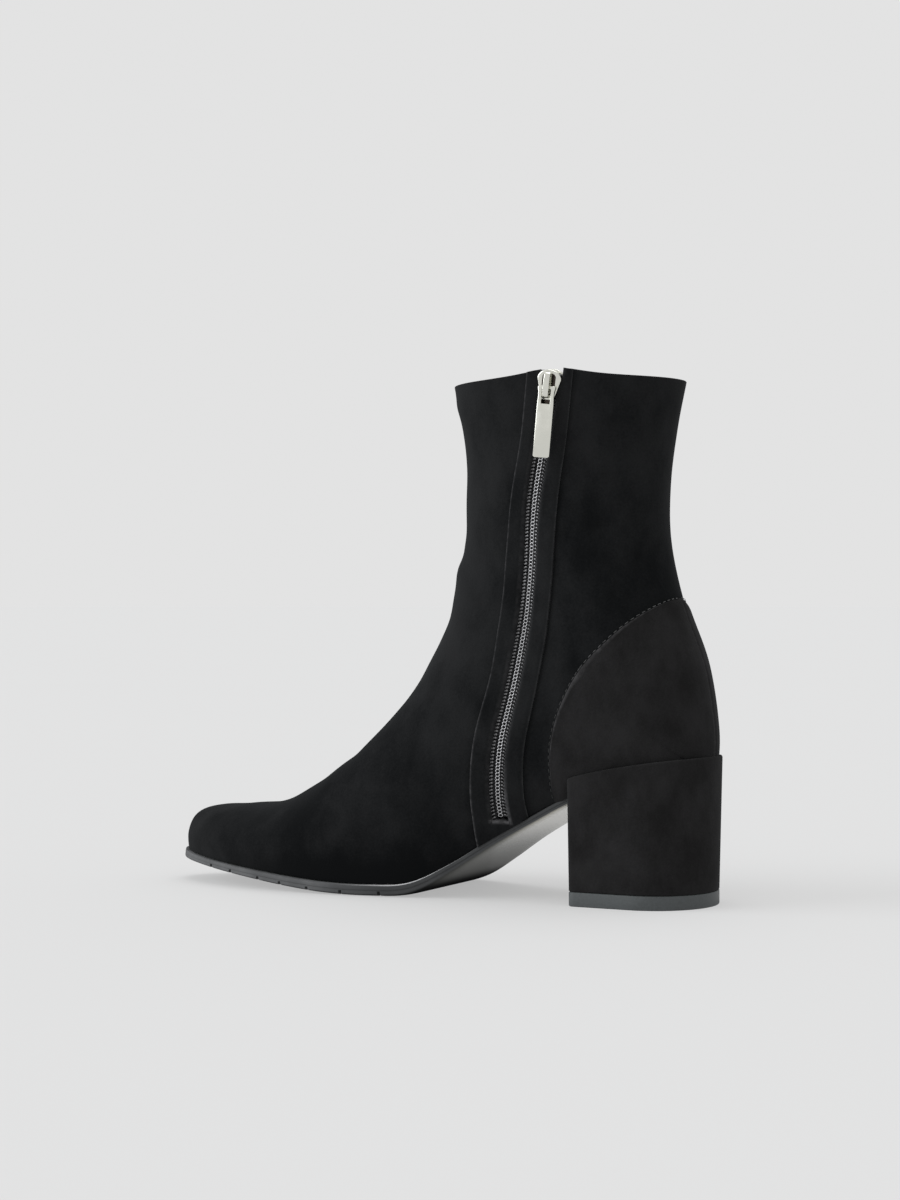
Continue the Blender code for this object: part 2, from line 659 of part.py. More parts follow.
def build_slider(boot, path):
    frame = path.frame(SLIDER_DISTANCE)
    front = SLIDER_FRONT + SLIDER_PLATE
    tape_in = -(WALL + TAPE_CLEARANCE + TAPE_THICKNESS)
    back = tape_in - GAP
    plate = prism_mesh("zip_slider", slider_outline(), SLIDER_FRONT, front)
    slider = boot.part("zip_slider", plate, "nickel")
    slider.matrix_local = frame
    half = BRIDGE_WIDTH / 2
    sink = SLIDER_FRONT + SLIDER_PLATE / 2
    neck = box_outline(SLIDER_NECK / 2, SLIDER_NECK_TOP - SLIDER_NECK, SLIDER_NECK_TOP)
    foot = box_outline(half, BRIDGE_BOTTOM, BRIDGE_BOTTOM + BRIDGE_LEG)
    head = box_outline(half, BRIDGE_TOP - BRIDGE_LEG, BRIDGE_TOP)
    beam = box_outline(half, BRIDGE_BOTTOM + BRIDGE_STEP, BRIDGE_TOP - BRIDGE_STEP)
    pieces = (
        ("slider_back_plate", slider_outline(), back - SLIDER_PLATE, back),
        ("slider_neck", neck, back - SLIDER_PLATE / 2, sink),
        ("slider_bridge_foot", foot, sink, BRIDGE_HEIGHT),
        ("slider_bridge_head", head, sink, BRIDGE_HEIGHT),
        ("slider_bridge_beam", beam, BRIDGE_WINDOW_TOP, BRIDGE_HEIGHT - BRIDGE_STEP),
    )
    for name, outline, low, high in pieces:
        piece = boot.cutter(name, prism_mesh(name, outline, low, high))
        piece.matrix_local = frame
        boolean(slider, piece, "UNION")


def build_tab(boot, path):
    """The tab hangs from its bar in the bridge's window, with play to lean less than the slider."""
    hinge = path.frame(SLIDER_DISTANCE) @ Matrix.Translation((0, HINGE_UP * MM, HINGE_OUT * MM))
    across = hinge.to_3x3().col[0]
    across.z *= TAB_LEAN
    across.normalize()
    plumb = Vector((0, 0, 1)) - across * across.z
    plumb.normalize()
    matrix = Matrix((across, plumb, across.cross(plumb))).transposed().to_4x4()
    matrix.translation = hinge.translation
    half = TAB_THICKNESS / 2
    plate = box_outline(TAB_WIDTH / 2, TAB_BAR - TAB_LENGTH, TAB_BAR)
    eye = box_outline(TAB_EYE_WIDTH / 2, -TAB_EYE_LENGTH, -TAB_BAR)
    tab = boot.part("zip_pull_tab", prism_mesh("zip_pull_tab", plate, -half, half), "nickel")
    tab.matrix_local = matrix
    hole = boot.cutter("tab_eye", prism_mesh("tab_eye", eye, -2 * half, 2 * half))
    hole.matrix_local = matrix
    boolean(tab, hole, "DIFFERENCE")


def centre_on_floor(boot):
    """Moves the root so that the middle of the boot's outline stands on the origin."""
    bpy.context.view_layer.update()
    graph = bpy.context.evaluated_depsgraph_get()
    corners = []
    for piece in boot.parts.objects:
        if piece.type == "MESH":
            shape = piece.evaluated_get(graph)
            corners += [shape.matrix_world @ Vector(corner) for corner in shape.bound_box]
    corners = np.array(corners)
    middle = (corners.min(axis=0) + corners.max(axis=0)) / 2
    boot.root.location = (-middle[0], -middle[1], 0.0)
    bpy.context.view_layer.update()


def main():
    boot = Boot()
    upper = build_upper(boot)
    build_insole(boot)
    build_outsole(boot)
    build_heel(boot)
    build_counter(boot)
    path = ZipPath()
    build_zip_opening(boot, path, upper)
    build_zip_halves(boot, path)
    build_slider(boot, path)
    build_tab(boot, path)
    centre_on_floor(boot)


main()
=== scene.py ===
"""Looks of the suede ankle boot: its pieces, finishes and stage, laid out as an add-on.

Tables are in millimetres: x from the back of the heel towards the toe, y from the heel's middle line towards
the inner side of the foot, and z up from the floor. Meshes are in metres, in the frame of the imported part.
"""

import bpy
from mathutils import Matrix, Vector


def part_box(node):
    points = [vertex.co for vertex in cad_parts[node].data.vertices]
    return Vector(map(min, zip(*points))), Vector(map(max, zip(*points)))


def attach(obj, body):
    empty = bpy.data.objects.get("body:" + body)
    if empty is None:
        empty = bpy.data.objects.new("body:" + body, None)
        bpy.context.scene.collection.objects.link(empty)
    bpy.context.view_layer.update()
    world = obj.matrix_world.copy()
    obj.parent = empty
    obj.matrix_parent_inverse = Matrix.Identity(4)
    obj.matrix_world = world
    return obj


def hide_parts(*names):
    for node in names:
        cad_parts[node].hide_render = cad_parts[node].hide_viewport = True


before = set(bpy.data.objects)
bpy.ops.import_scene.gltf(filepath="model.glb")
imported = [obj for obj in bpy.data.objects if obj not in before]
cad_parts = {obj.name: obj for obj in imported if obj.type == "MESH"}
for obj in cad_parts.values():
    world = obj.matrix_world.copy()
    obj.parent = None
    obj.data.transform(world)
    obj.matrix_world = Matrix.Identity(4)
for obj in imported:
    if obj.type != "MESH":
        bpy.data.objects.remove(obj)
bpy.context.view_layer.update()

import math
from collections import namedtuple
from contextlib import contextmanager

import bmesh
import bpy
import numpy as np
from bpy.props import FloatProperty, FloatVectorProperty, PointerProperty
from mathutils import Matrix, Vector

bl_info = {
    "name": "Suede Ankle Boot",
    "version": (1, 0, 0),
    "blender": (4, 5, 0),
    "location": "View3D > Sidebar > Boot",
    "description": "Dresses the packed ankle boot with its suede, sole, zip and studio",
    "category": "Object",
}

MM = 0.001
WELD = 0.01 * MM
HEEL_LOW, HEEL_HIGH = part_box("heel_block")
HEEL_BACK = np.array([HEEL_LOW.x, (HEEL_LOW.y + HEEL_HIGH.y) / 2, 0.0])

# The last: each section is a line in the side view, from the feather line or the back seam to the front
# ridge. ridge_y, sole and wide give its arch on the inner and the outer side; widest is the share of the
# line where the arch is broadest, and crown rounds the arch above that.
Section = namedtuple(
    "Section",
    "back_x back_z front_x front_z ridge_y sole_in sole_out wide_in wide_out widest crown",
)
SECTIONS = (
    Section(236.0, 13.4, 236.0, 17.6, 4.0, 4.0, 4.0, 4.0, 4.0, 0.40, 2.30),
    Section(234.4, 13.1, 234.4, 22.8, 4.0, 10.5, -2.5, 11.0, -3.0, 0.40, 2.30),
    Section(229.4, 12.3, 229.4, 28.4, 4.0, 16.9, -9.5, 18.0, -10.8, 0.40, 2.30),
    Section(220.8, 11.3, 220.8, 31.3, 4.0, 22.5, -17.0, 24.2, -19.3, 0.39, 2.30),
    Section(207.5, 9.9, 207.5, 32.4, 4.0, 28.0, -25.5, 30.5, -28.8, 0.37, 2.25),
    Section(190.8, 8.4, 190.8, 34.2, 4.0, 32.5, -33.0, 36.0, -37.0, 0.35, 2.15),
    Section(172.0, 6.7, 172.0, 42.3, 4.0, 35.2, -38.0, 38.6, -41.8, 0.33, 2.05),
    Section(154.0, 5.3, 156.0, 52.6, 4.0, 35.5, -40.0, 38.8, -43.0, 0.32, 1.95),
    Section(136.0, 4.9, 144.3, 62.2, 3.5, 33.3, -39.0, 37.0, -41.6, 0.33, 1.90),
    Section(119.0, 6.2, 134.2, 71.8, 3.0, 29.8, -37.0, 35.0, -39.5, 0.35, 1.90),
    Section(103.0, 13.8, 126.2, 82.2, 2.0, 25.8, -34.0, 33.0, -37.0, 0.37, 1.90),
    Section(87.0, 23.8, 119.8, 93.8, 1.5, 22.6, -30.2, 31.5, -34.8, 0.38, 1.90),
    Section(70.0, 33.4, 115.2, 105.4, 1.0, 21.0, -27.2, 31.0, -33.0, 0.39, 1.90),
    Section(52.0, 42.6, 112.2, 116.5, 0.5, 21.4, -24.8, 30.5, -31.5, 0.39, 1.95),
    Section(33.0, 48.6, 109.8, 127.0, 0.0, 22.3, -23.0, 30.0, -30.4, 0.39, 2.00),
    Section(16.0, 51.2, 107.6, 136.0, 0.0, 20.2, -20.2, 29.5, -29.8, 0.39, 2.00),
    Section(6.5, 52.2, 106.2, 143.0, 0.0, 11.6, -11.6, 29.3, -29.5, 0.39, 2.00),
    Section(3.4, 52.6, 105.2, 150.0, 0.0, 0.0, 0.0, 29.2, -29.3, 0.39, 2.00),
    Section(2.3, 66.0, 104.6, 157.5, 0.0, 0.0, 0.0, 29.2, -29.2, 0.41, 2.00),
    Section(6.2, 91.0, 104.6, 166.0, 0.0, 0.0, 0.0, 29.2, -29.2, 0.44, 2.00),
    Section(15.0, 115.0, 105.3, 174.5, 0.0, 0.0, 0.0, 29.3, -29.3, 0.47, 2.00),
    Section(20.6, 140.0, 106.4, 182.5, 0.0, 0.0, 0.0, 29.4, -29.4, 0.49, 2.00),
    Section(20.8, 163.0, 107.8, 190.0, 0.0, 0.0, 0.0, 30.0, -30.0, 0.50, 2.00),
    Section(18.0, 185.0, 109.3, 197.0, 0.0, 0.0, 0.0, 31.5, -31.5, 0.50, 2.00),
    Section(14.4, 203.0, 110.6, 203.0, 0.0, 0.0, 0.0, 33.0, -33.0, 0.50, 2.00),
)
SEAT_ROW = 17
LAST_ROW = len(SECTIONS) - 1
INNER, OUTER = 1, -1
FEATHER_ROWS = np.linspace(0, SEAT_ROW, 40 * SEAT_ROW + 1)

# At the seat the feather line ends and the back seam starts, so the line's slope isn't carried into it.
SLOPES = np.gradient(np.array(SECTIONS), axis=0)
SLOPES[SEAT_ROW, 1] = SECTIONS[SEAT_ROW].back_z - SECTIONS[SEAT_ROW - 1].back_z

# Steps over which the skin's normals are taken, wider round the seat
NORMAL_STEP = 0.004
SEAT_STRETCH = 0.5
SEAT_STRETCH_AHEAD = 0.4
SEAT_STRETCH_ROWS = 0.9

# Search for a place on the skin: rounds that follow the collar's lift, and halvings in each round
LIFT_ROUNDS = 3
HALVINGS = 36

# Collar: how far it peaks at the zip, and how far the peak spreads
COLLAR_Z = 203.0
COLLAR_PEAK = 3.8
COLLAR_PEAK_SPREAD = 15.0
COLLAR_PEAK_X = 54.0
COLLAR_PEAK_ROWS = 4.0
COLLAR_HALF_WIDTH = 32.0

# Creases run along the last's sections; a negative depth is the soft ridge beside a trough. Each comes in
# over CREASE_FADE of a turn.
CREASE_FADE = 0.55
Crease = namedtuple("Crease", "row width depth start")
CREASES = (
    Crease(2.00, 0.70, -0.50, 1.20),
    Crease(3.60, 0.50, 0.30, 1.20),
    Crease(5.50, 0.50, 0.80, 1.00),
    Crease(6.40, 0.30, 0.25, 0.90),
    Crease(6.90, 0.34, -0.20, 0.95),
    Crease(7.40, 0.30, 0.28, 0.95),
    Crease(9.20, 1.70, -1.65, 1.10),
    Crease(9.60, 0.45, 0.12, 1.10),
    Crease(11.1, 0.55, -0.45, 1.15),
    Crease(12.7, 0.60, 0.80, 1.15),
    Crease(14.4, 0.50, -0.95, 1.15),
    Crease(15.7, 0.50, -0.15, 1.15),
    Crease(18.1, 1.60, -1.50, 1.15),
    Crease(22.7, 0.60, -0.55, 1.25),
)

# Edges seen from the side: the counter from the sole up to the back seam, and the zip from the collar down
COUNTER_EDGE = (
    (59.0, 36.0),
    (58.8, 48.0),
    (57.4, 62.0),
    (53.2, 76.2),
    (45.6, 90.0),
    (35.0, 101.5),
    (24.0, 111.5),
    (12.8, 120.0),
    (0.0, 125.0),
)
ZIP_LINE = (
    (55.0, 207.0),
    (59.3, 183.0),
    (64.2, 157.0),
    (67.7, 122.0),
    (72.4, 88.0),
    (78.4, 62.0),
    (80.6, 44.0),
    (81.0, 31.5),
)

# Facing strips beside the zip: distance down the zip, and how far they reach to the toe and to the heel
FACING_REACH = (
    (0.0, 9.6, 8.3),
    (35.0, 9.0, 9.4),
    (70.0, 10.6, 10.5),
    (95.0, 10.9, 10.6),
    (120.0, 10.0, 10.2),
    (145.0, 10.5, 10.3),
    (180.0, 10.2, 10.6),
)
WINDOW_HALF = 3.8
WINDOW_END = 178.0
WINDOW_CORNER = 1.6
ZIP_OPENING = 1.6
ZIP_OPENING_START = 3.0
ZIP_OPENING_END = 9.0
ZIP_GAP_END = 0.5

# Outsole: thicknesses, how far it stands out, and its cross-section
FOREPART_THICKNESS = 4.9
TOE_THICKNESS = 3.4
WAIST_THICKNESS = 3.2
WAIST_END_X = 95.0
FOREPART_START_X = 125.0
BALL_X = 150.0
# Where the painted highlight on the sole's lip is centred along the sole, and how far it spreads
LIP_SHINE_X = 118.0
LIP_SHINE_SPREAD = 18.0
TOE_X = 232.0
FORE_MARGIN = 1.3
WAIST_MARGIN = 0.7
SOLE_GAP = 0.3
TREAD_GROOVES_X = (211.5, 200.5, 185.7, 174.7, 161.7, 146.6, 130.0)
TREAD_GROOVE_WIDTH = 1.5
TREAD_GROOVE_DEPTH = 2.1
TREAD_GROOVE_LENGTH = 120.0
TREAD_GROOVE_BEND = 5.0
TREAD_GROOVE_SWEEP = 3.2
TREAD_GROOVE_WAIST = 1.05
TREAD_GROOVE_FLARE = 0.5
SOLE_EDGE = (
    (0.978, 0.0),
    (0.992, 0.03),
    (1.0, 0.09),
    (1.0, 0.36),
    (0.996, 0.41),
    (0.985, 0.46),
    (0.985, 0.70),
    (0.978, 0.80),
    (0.955, 0.88),
    (0.90, 0.94),
    (0.80, 0.985),
    (0.70, 1.0),
    (0.35, 1.0),
    (0.0, 1.0),
)
SOLE_PROFILE = [(-across, level) for across, level in SOLE_EDGE]
SOLE_PROFILE += [(across, level) for across, level in SOLE_EDGE[-2::-1]]

# Heel: half width, back and front of its outline at the floor and at the rim
HeelLevel = namedtuple("HeelLevel", "half_width back front")
HEEL_FOOT = HeelLevel(26.6, 1.2, 51.8)
HEEL_RIM = HeelLevel(27.8, 0.0, 52.0)
HEEL_ROUND_X = 26.0
HEEL_CORNER = 3.0
HEEL_LEAST_CORNER = 0.5
HEEL_ROUND_POINTS = 65
HEEL_SIDE_POINTS = 9
HEEL_CORNER_POINTS = 9
HEEL_BREAST_POINTS = 13
HEEL_RIM_BACK_Z = 57.8
HEEL_RIM_FRONT_Z = 49.2
HEEL_RIM_BOW = 1.3
HEEL_RIM_ROUND = 0.9
SEAT_DROP = 0.9
TOP_PIECE_THICKNESS = 5.6

# Slider and pull tab, in their own frames: x across the zip, y up along it and z out of the boot
SLIDER_DISTANCE = 6.0
SLIDER_TOP = 5.0
SLIDER_BOTTOM = -6.8
SLIDER_HALF_WIDTH = 4.8
SLIDER_SHOULDER = 3.6
SLIDER_TAIL_HALF_WIDTH = 2.9
SLIDER_TAIL_ROUND = 1.2
SLIDER_FRONT = 1.0
SLIDER_PLATE = 1.1
SLIDER_BACK = -3.3
BRIDGE_WIDTH = 2.4
BRIDGE_PATH = (
    (4.1, 1.5),
    (4.15, 3.2),
    (4.0, 4.3),
    (3.4, 5.0),
    (2.4, 5.3),
    (0.4, 5.35),
    (-1.8, 5.3),
    (-3.8, 5.2),
    (-4.9, 4.9),
    (-5.6, 4.2),
    (-5.9, 3.0),
    (-6.0, 1.5),
)
BRIDGE_THICKNESS = 1.1
HINGE_UP = -1.8
HINGE_OUT = 3.3
TAB_LEAN = 0.55
TAB_OUTLINE = (
    (2.2, 0.56),
    (3.1, 0.56),
    (3.5, 0.25),
    (3.5, -0.5),
    (3.2, -1.6),
    (3.15, -3.4),
    (3.3, -6.5),
    (3.3, -26.3),
    (2.7, -26.9),
)
TAB_THICKNESS = 1.2
TAB_EYE_HALF_WIDTH = 1.8
TAB_EYE_TOP = -0.7
TAB_EYE_BOTTOM = -6.3

# Degrees above which an edge stays sharp, and the segments of a rounded edge
SOFT_ANGLE = 60.0
FOLD_ANGLE = 50.0
HARD_ANGLE = 35.0
EDGE_SEGMENTS = 3

# Where finishes change: heel, arch, waist, ball and forepart along the sole, which bound the waist's painted
# reflection and the forepart's painted light; the lift of its waist off the floor, where the painted shade
# beneath gives way to gloss; and the heights between which the thread grows pale
SOLE_FINISH_X = (54.0, 90.0, 126.0, 130.0, 165.0)
WAIST_LIFT = (3.0, 9.0)
PALE_THREAD = (72.0, 104.0)
WHITE = (1.0, 1.0, 1.0, 1.0)


class BootSizes(bpy.types.PropertyGroup):
    """Thicknesses, seams and threads of the boot."""

    suede: FloatProperty(
        name="Suede", description="Thickness of the upper's suede", default=1.0 * MM, unit="LENGTH"
    )
    lining: FloatProperty(
        name="Lining", description="Thickness of the lining", default=0.7 * MM, unit="LENGTH"
    )
    collar_round: FloatProperty(
        name="Collar edge", description="Rounding of the collar's edge", default=0.34 * MM, unit="LENGTH"
    )
    facing_rise: FloatProperty(
        name="Facing rise",
        description="How far the zip facings stand proud",
        default=0.5 * MM,
        unit="LENGTH",
    )
    facing_fold: FloatProperty(
        name="Facing fold",
        description="Radius of the facings' fold at the zip",
        default=0.9 * MM,
        unit="LENGTH",
    )
    counter_rise: FloatProperty(
        name="Counter rise",
        description="How far the counter stands proud",
        default=1.55 * MM,
        unit="LENGTH",
    )
    counter_edge: FloatProperty(
        name="Counter edge",
        description="Height of the counter's skived edge",
        default=0.6 * MM,
        unit="LENGTH",
    )
    stitch_length: FloatProperty(
        name="Stitch", description="Length of one stitch", default=1.85 * MM, unit="LENGTH"
    )
    stitch_pitch: FloatProperty(
        name="Stitch pitch", description="From one stitch to the next", default=2.75 * MM, unit="LENGTH"
    )
    stitch_radius: FloatProperty(
        name="Thread radius", description="Radius of the sewing thread", default=0.17 * MM, unit="LENGTH"
    )
    stitch_margin: FloatProperty(
        name="Stitch margin", description="From an edge to its stitches", default=0.4 * MM, unit="LENGTH"
    )
    coil_pitch: FloatProperty(
        name="Coil pitch",
        description="From one turn of the zip to the next",
        default=1.35 * MM,
        unit="LENGTH",
    )
    coil_wire: FloatProperty(
        name="Coil wire", description="Radius of the zip's wire", default=0.32 * MM, unit="LENGTH"
    )
    coil_half_width: FloatProperty(
        name="Coil half width", description="Width of one row of the zip", default=3.3 * MM, unit="LENGTH"
    )


class BootColours(bpy.types.PropertyGroup):
    """Colours of the boot's materials, in linear values."""

    suede_dark: FloatVectorProperty(
        name="Suede, dark nap",
        description="Suede brushed one way",
        default=(0.0052, 0.0056, 0.0060),
        subtype="COLOR",
    )
    suede_light: FloatVectorProperty(
        name="Suede, light nap",
        description="Suede brushed the other way",
        default=(0.0158, 0.0162, 0.0168),
        subtype="COLOR",
    )
    heel_dark: FloatVectorProperty(
        name="Heel, dark nap",
        description="Heel's suede brushed one way",
        default=(0.0108, 0.0105, 0.0106),
        subtype="COLOR",
    )
    heel_light: FloatVectorProperty(
        name="Heel, light nap",
        description="Heel's suede brushed back",
        default=(0.0210, 0.0206, 0.0211),
        subtype="COLOR",
    )
    # Raw suede along cut and folded edges; its paleness there is partly a painted highlight
    cut_edge: FloatVectorProperty(
        name="Cut edge",
        description="Raw suede along cut and folded edges",
        default=(0.110, 0.108, 0.112),
        subtype="COLOR",
    )
    thread: FloatVectorProperty(
        name="Thread", description="Sewing thread", default=(0.070, 0.071, 0.071), subtype="COLOR"
    )
    lining: FloatVectorProperty(
        name="Lining", description="Lining and sock", default=(0.024, 0.023, 0.023), subtype="COLOR"
    )
    sole: FloatVectorProperty(
        name="Sole", description="Sole's rubber", default=(0.070, 0.072, 0.074), subtype="COLOR"
    )
    top_piece: FloatVectorProperty(
        name="Top piece",
        description="Rubber under the heel",
        default=(0.062, 0.069, 0.071),
        subtype="COLOR",
    )
    tape: FloatVectorProperty(
        name="Zip tape",
        description="Woven tape of the zip",
        default=(0.009, 0.009, 0.010),
        subtype="COLOR",
    )
    coil: FloatVectorProperty(
        name="Zip coil", description="Wire of the zip", default=(0.54, 0.54, 0.55), subtype="COLOR"
    )
    nickel: FloatVectorProperty(
        name="Nickel", description="Slider and pull tab", default=(0.79, 0.79, 0.72), subtype="COLOR"
    )
    # Paler rubber round the forepart, partly painted light
    sole_fore: FloatVectorProperty(
        name="Sole's forepart",
        description="Scuffed rubber of the forepart",
        default=(0.130, 0.132, 0.135),
        subtype="COLOR",
    )
    # Painted highlight on the sole's lip at the ball
    sole_lip: FloatVectorProperty(
        name="Sole's lip",
        description="Shine on the lip at the ball",
        default=(0.70, 0.70, 0.71),
        subtype="COLOR",
    )
    # Paler than the sole, partly a painted reflection of the floor
    waist: FloatVectorProperty(
        name="Waist",
        description="Smooth rubber of the waist",
        default=(0.165, 0.167, 0.148),
        subtype="COLOR",
    )
    # Painted reflection that the waist's colour grows into at the heel
    waist_end: FloatVectorProperty(
        name="Waist's end",
        description="Polished rubber at the heel",
        default=(0.84, 0.81, 0.71),
        subtype="COLOR",
    )
    # Painted shade and dark reflection in the slider's hollows and under its tail
    tarnish: FloatVectorProperty(
        name="Tarnish", description="Hollows of the slider", default=(0.055, 0.045, 0.038), subtype="COLOR"
    )
    floor: FloatVectorProperty(
        name="Floor", description="Floor and backdrop", default=(0.28, 0.28, 0.28), subtype="COLOR"
    )


class BootStage(bpy.types.PropertyGroup):
    """Camera and light of the studio."""

    azimuth: FloatProperty(
        name="Azimuth",
        description="Turn of the camera round the boot",
        default=math.radians(27.0),
        subtype="ANGLE",
    )
    distance: FloatProperty(
        name="Distance", description="From the camera to the boot's middle", default=0.975, unit="LENGTH"
    )
    height: FloatProperty(
        name="Height", description="Camera's height", default=0.1178, unit="LENGTH"
    )
    aim_x: FloatProperty(
        name="Aim",
        description="Where the camera looks, from the back of the heel",
        default=0.1155,
        unit="LENGTH",
    )
    lens: FloatProperty(
        name="Lens",
        description="Focal length on a 36 mm frame height",
        default=72.0,
        subtype="DISTANCE_CAMERA",
    )
    around: FloatProperty(
        name="Around", description="Strength of the light from all round", default=0.767
    )
    overhead: FloatProperty(
        name="Overhead", description="Strength of the soft light above", default=0.9
    )
    key: FloatProperty(
        name="Key", description="Strength of the soft light from the toe's side", default=2.0
    )
    floor_glow: FloatProperty(
        name="Floor glow", description="Light that comes through the floor's paper", default=0.414
    )


def mm(length):
    return length / MM


def mix(start, end, share):
    return start + (end - start) * share


def bell(offset, width):
    return np.exp(-((offset / width) ** 2))


def smooth_step(low, high, value):
    share = np.clip((value - low) / (high - low), 0.0, 1.0)
    return share * share * (3 - 2 * share)


def unit(vectors):
    return vectors / np.linalg.norm(vectors, axis=-1, keepdims=True)


def distances(line):
    """How far each point of a line is from its start, along the line."""
    return np.append(0, np.cumsum(np.linalg.norm(np.diff(line, axis=0), axis=1)))


def read_line(places, along, line):
    """A line's points or directions, read at places along it."""
    return np.stack([np.interp(places, along, column) for column in line.T], axis=-1)


def follow(table, at, slopes=None):
    """A smooth curve through a table's rows, read at fractional row numbers."""
    table = np.asarray(table, float)
    if slopes is None:
        slopes = np.gradient(table, axis=0)
    at = np.asarray(at, float)
    row = np.clip(np.floor(at).astype(int), 0, len(table) - 2)
    u = (at - row)[..., None]
    start = (1 + 2 * u) * (1 - u) ** 2 * table[row] + u * (1 - u) ** 2 * slopes[row]
    end = u**2 * (3 - 2 * u) * table[row + 1] - u**2 * (1 - u) * slopes[row + 1]
    return start + end


def traced(table, count):
    """Points on the curve through a whole table, spread evenly over its rows."""
    return follow(table, np.linspace(0, len(table) - 1, count))


def sections_at(at):
    return Section(*np.moveaxis(follow(SECTIONS, at, SLOPES), -1, 0))


def on_line(section, climb):
    """Place in the side view at a share of a section's line."""
    return mix(section.back_x, section.front_x, climb), mix(section.back_z, section.front_z, climb)


def collar_lift(at, x, y):
    """How far the collar's peak lifts a point of the skin."""
    rise = np.clip((at - LAST_ROW + COLLAR_PEAK_ROWS) / COLLAR_PEAK_ROWS, 0, 1)
    spread = 1 / (1 + ((x - COLLAR_PEAK_X) / COLLAR_PEAK_SPREAD) ** 2)
    return COLLAR_PEAK * rise**2 * spread * np.clip(y / COLLAR_HALF_WIDTH, 0, 1)


def smooth_skin(at, turn, side):
    """The last's face. turn is 0 at the feather line or back seam, 1 at its widest and 2 at the ridge."""
    at, turn = np.broadcast_arrays(np.asarray(at, float), np.asarray(turn, float))
    section = sections_at(at)
    sole = section.sole_in if side == INNER else section.sole_out
    wide = section.wide_in if side == INNER else section.wide_out
    foot = np.maximum(side * (sole - section.ridge_y), 0.0)
    wide = np.maximum(side * (wide - section.ridge_y), 0.0)
    low = np.clip(turn, 0, 1) * math.pi / 2
    high = np.clip(turn - 1, 0, 1) * math.pi / 2
    climb = section.widest * (1 - np.cos(low)) + (1 - section.widest) * np.sin(high)
    below = np.sqrt(foot**2 + (wide**2 - foot**2) * np.sin(low) ** 2)
    above = wide * np.maximum(np.cos(high), 0.0) ** (2 / section.crown)
    y = section.ridge_y + side * np.where(turn <= 1, below, above)
    x, z = on_line(section, climb)
    return np.stack([x, y, z + collar_lift(at, x, y)], axis=-1)


def crease_depth(at, turn):
    depth = np.zeros(np.broadcast(at, turn).shape)
    for crease in CREASES:
        fade = smooth_step(crease.start, crease.start + CREASE_FADE, turn)
        depth += crease.depth * bell(at - crease.row, crease.width) * fade
    return depth


def skin_normal(at, turn, side):
    """Outward normal of the last's face, taken over a wider stretch at the seat, where sections crowd."""
    at = np.asarray(at, float)
    reach = NORMAL_STEP + SEAT_STRETCH * bell(at - SEAT_ROW + SEAT_STRETCH_AHEAD, SEAT_STRETCH_ROWS)
    back = smooth_skin(np.minimum(at + reach, LAST_ROW), turn, side)
    fore = smooth_skin(np.maximum(at - reach, 0), turn, side)
    above = smooth_skin(at, np.minimum(turn + NORMAL_STEP, 2), side)
    below = smooth_skin(at, np.maximum(turn - NORMAL_STEP, 0), side)
    return side * unit(np.cross(back - fore, above - below))


def skin(at, turn, side, out=0.0):
    """Points on the creased skin, moved out along its normal."""
    at, turn, out = np.broadcast_arrays(*(np.asarray(value, float) for value in (at, turn, out)))
    lift = out - crease_depth(at, turn)
    return smooth_skin(at, turn, side) + lift[..., None] * skin_normal(at, turn, side)


def turn_of(at, climb):
    """The turn at which a section has climbed this share of its line."""
    widest = sections_at(at).widest
    low = np.arccos(np.clip(1 - climb / widest, 0, 1))
    high = np.arcsin(np.clip((climb - widest) / (1 - widest), 0, 1))
    return np.where(climb <= widest, low, math.pi / 2 + high) / (math.pi / 2)


def locate(x, z, side):
    """Row and turn of the skin's point that is seen at this place in the side view."""
    x, z = np.broadcast_arrays(np.asarray(x, float), np.asarray(z, float))
    lift = np.zeros(x.shape)
    for _ in range(LIFT_ROUNDS):
        low = np.zeros(x.shape)
        high = np.full(x.shape, float(LAST_ROW))
        for _ in range(HALVINGS):
            at = (low + high) / 2
            section = sections_at(at)
            run_x = section.front_x - section.back_x
            run_z = section.front_z - section.back_z
            ahead = run_x * (z - lift - section.back_z) > run_z * (x - section.back_x)
            low = np.where(ahead, at, low)
            high = np.where(ahead, high, at)
        along = run_x * (x - section.back_x) + run_z * (z - lift - section.back_z)
        turn = turn_of(at, np.clip(along / (run_x**2 + run_z**2), 0, 1))
        point = smooth_skin(at, turn, side)
        lift = collar_lift(at, point[..., 0], point[..., 1])
    return at, turn


def feather_height(x):
    section = sections_at(FEATHER_ROWS)
    return np.interp(-np.asarray(x), -section.back_x, section.back_z)


def row_where_sole_is(x):
    return np.interp(-np.asarray(x), -sections_at(FEATHER_ROWS).back_x, FEATHER_ROWS)


def plan_outline(rows, margin):
    """Inner and outer edges of the feather line in plan, moved outwards by margin."""
    section = sections_at(rows)
    inner = np.column_stack([section.back_x, np.maximum(section.sole_in, section.ridge_y)])
    outer = np.column_stack([section.back_x, np.minimum(section.sole_out, section.ridge_y)])
    path = np.vstack([outer[::-1], inner[1:]])
    margin = np.broadcast_to(margin, len(rows))
    moved = np.concatenate([margin[::-1], margin[1:]])[:, None]
    if np.allclose(path[0], path[-1]):
        tangent = np.gradient(np.vstack([path[-2], path, path[1]]), axis=0)[1:-1]
    else:
        tangent = np.gradient(path, axis=0)
    tangent = unit(tangent)
    path = path + moved * np.column_stack([tangent[:, 1], -tangent[:, 0]])
    return path[len(rows) - 1 :], path[: len(rows)][::-1]


def zip_opening(distance):
    """How far each half of the zip is parted round the slider."""
    return ZIP_OPENING * (1 - smooth_step(ZIP_OPENING_START, ZIP_OPENING_END, distance))


def facing_reach(distance):
    """How far the facings reach to the toe and to the heel."""
    table = np.array(FACING_REACH)
    rows = np.interp(distance, table[:, 0], np.arange(len(table)))
    reach = follow(table, rows)
    return reach[..., 1], reach[..., 2]


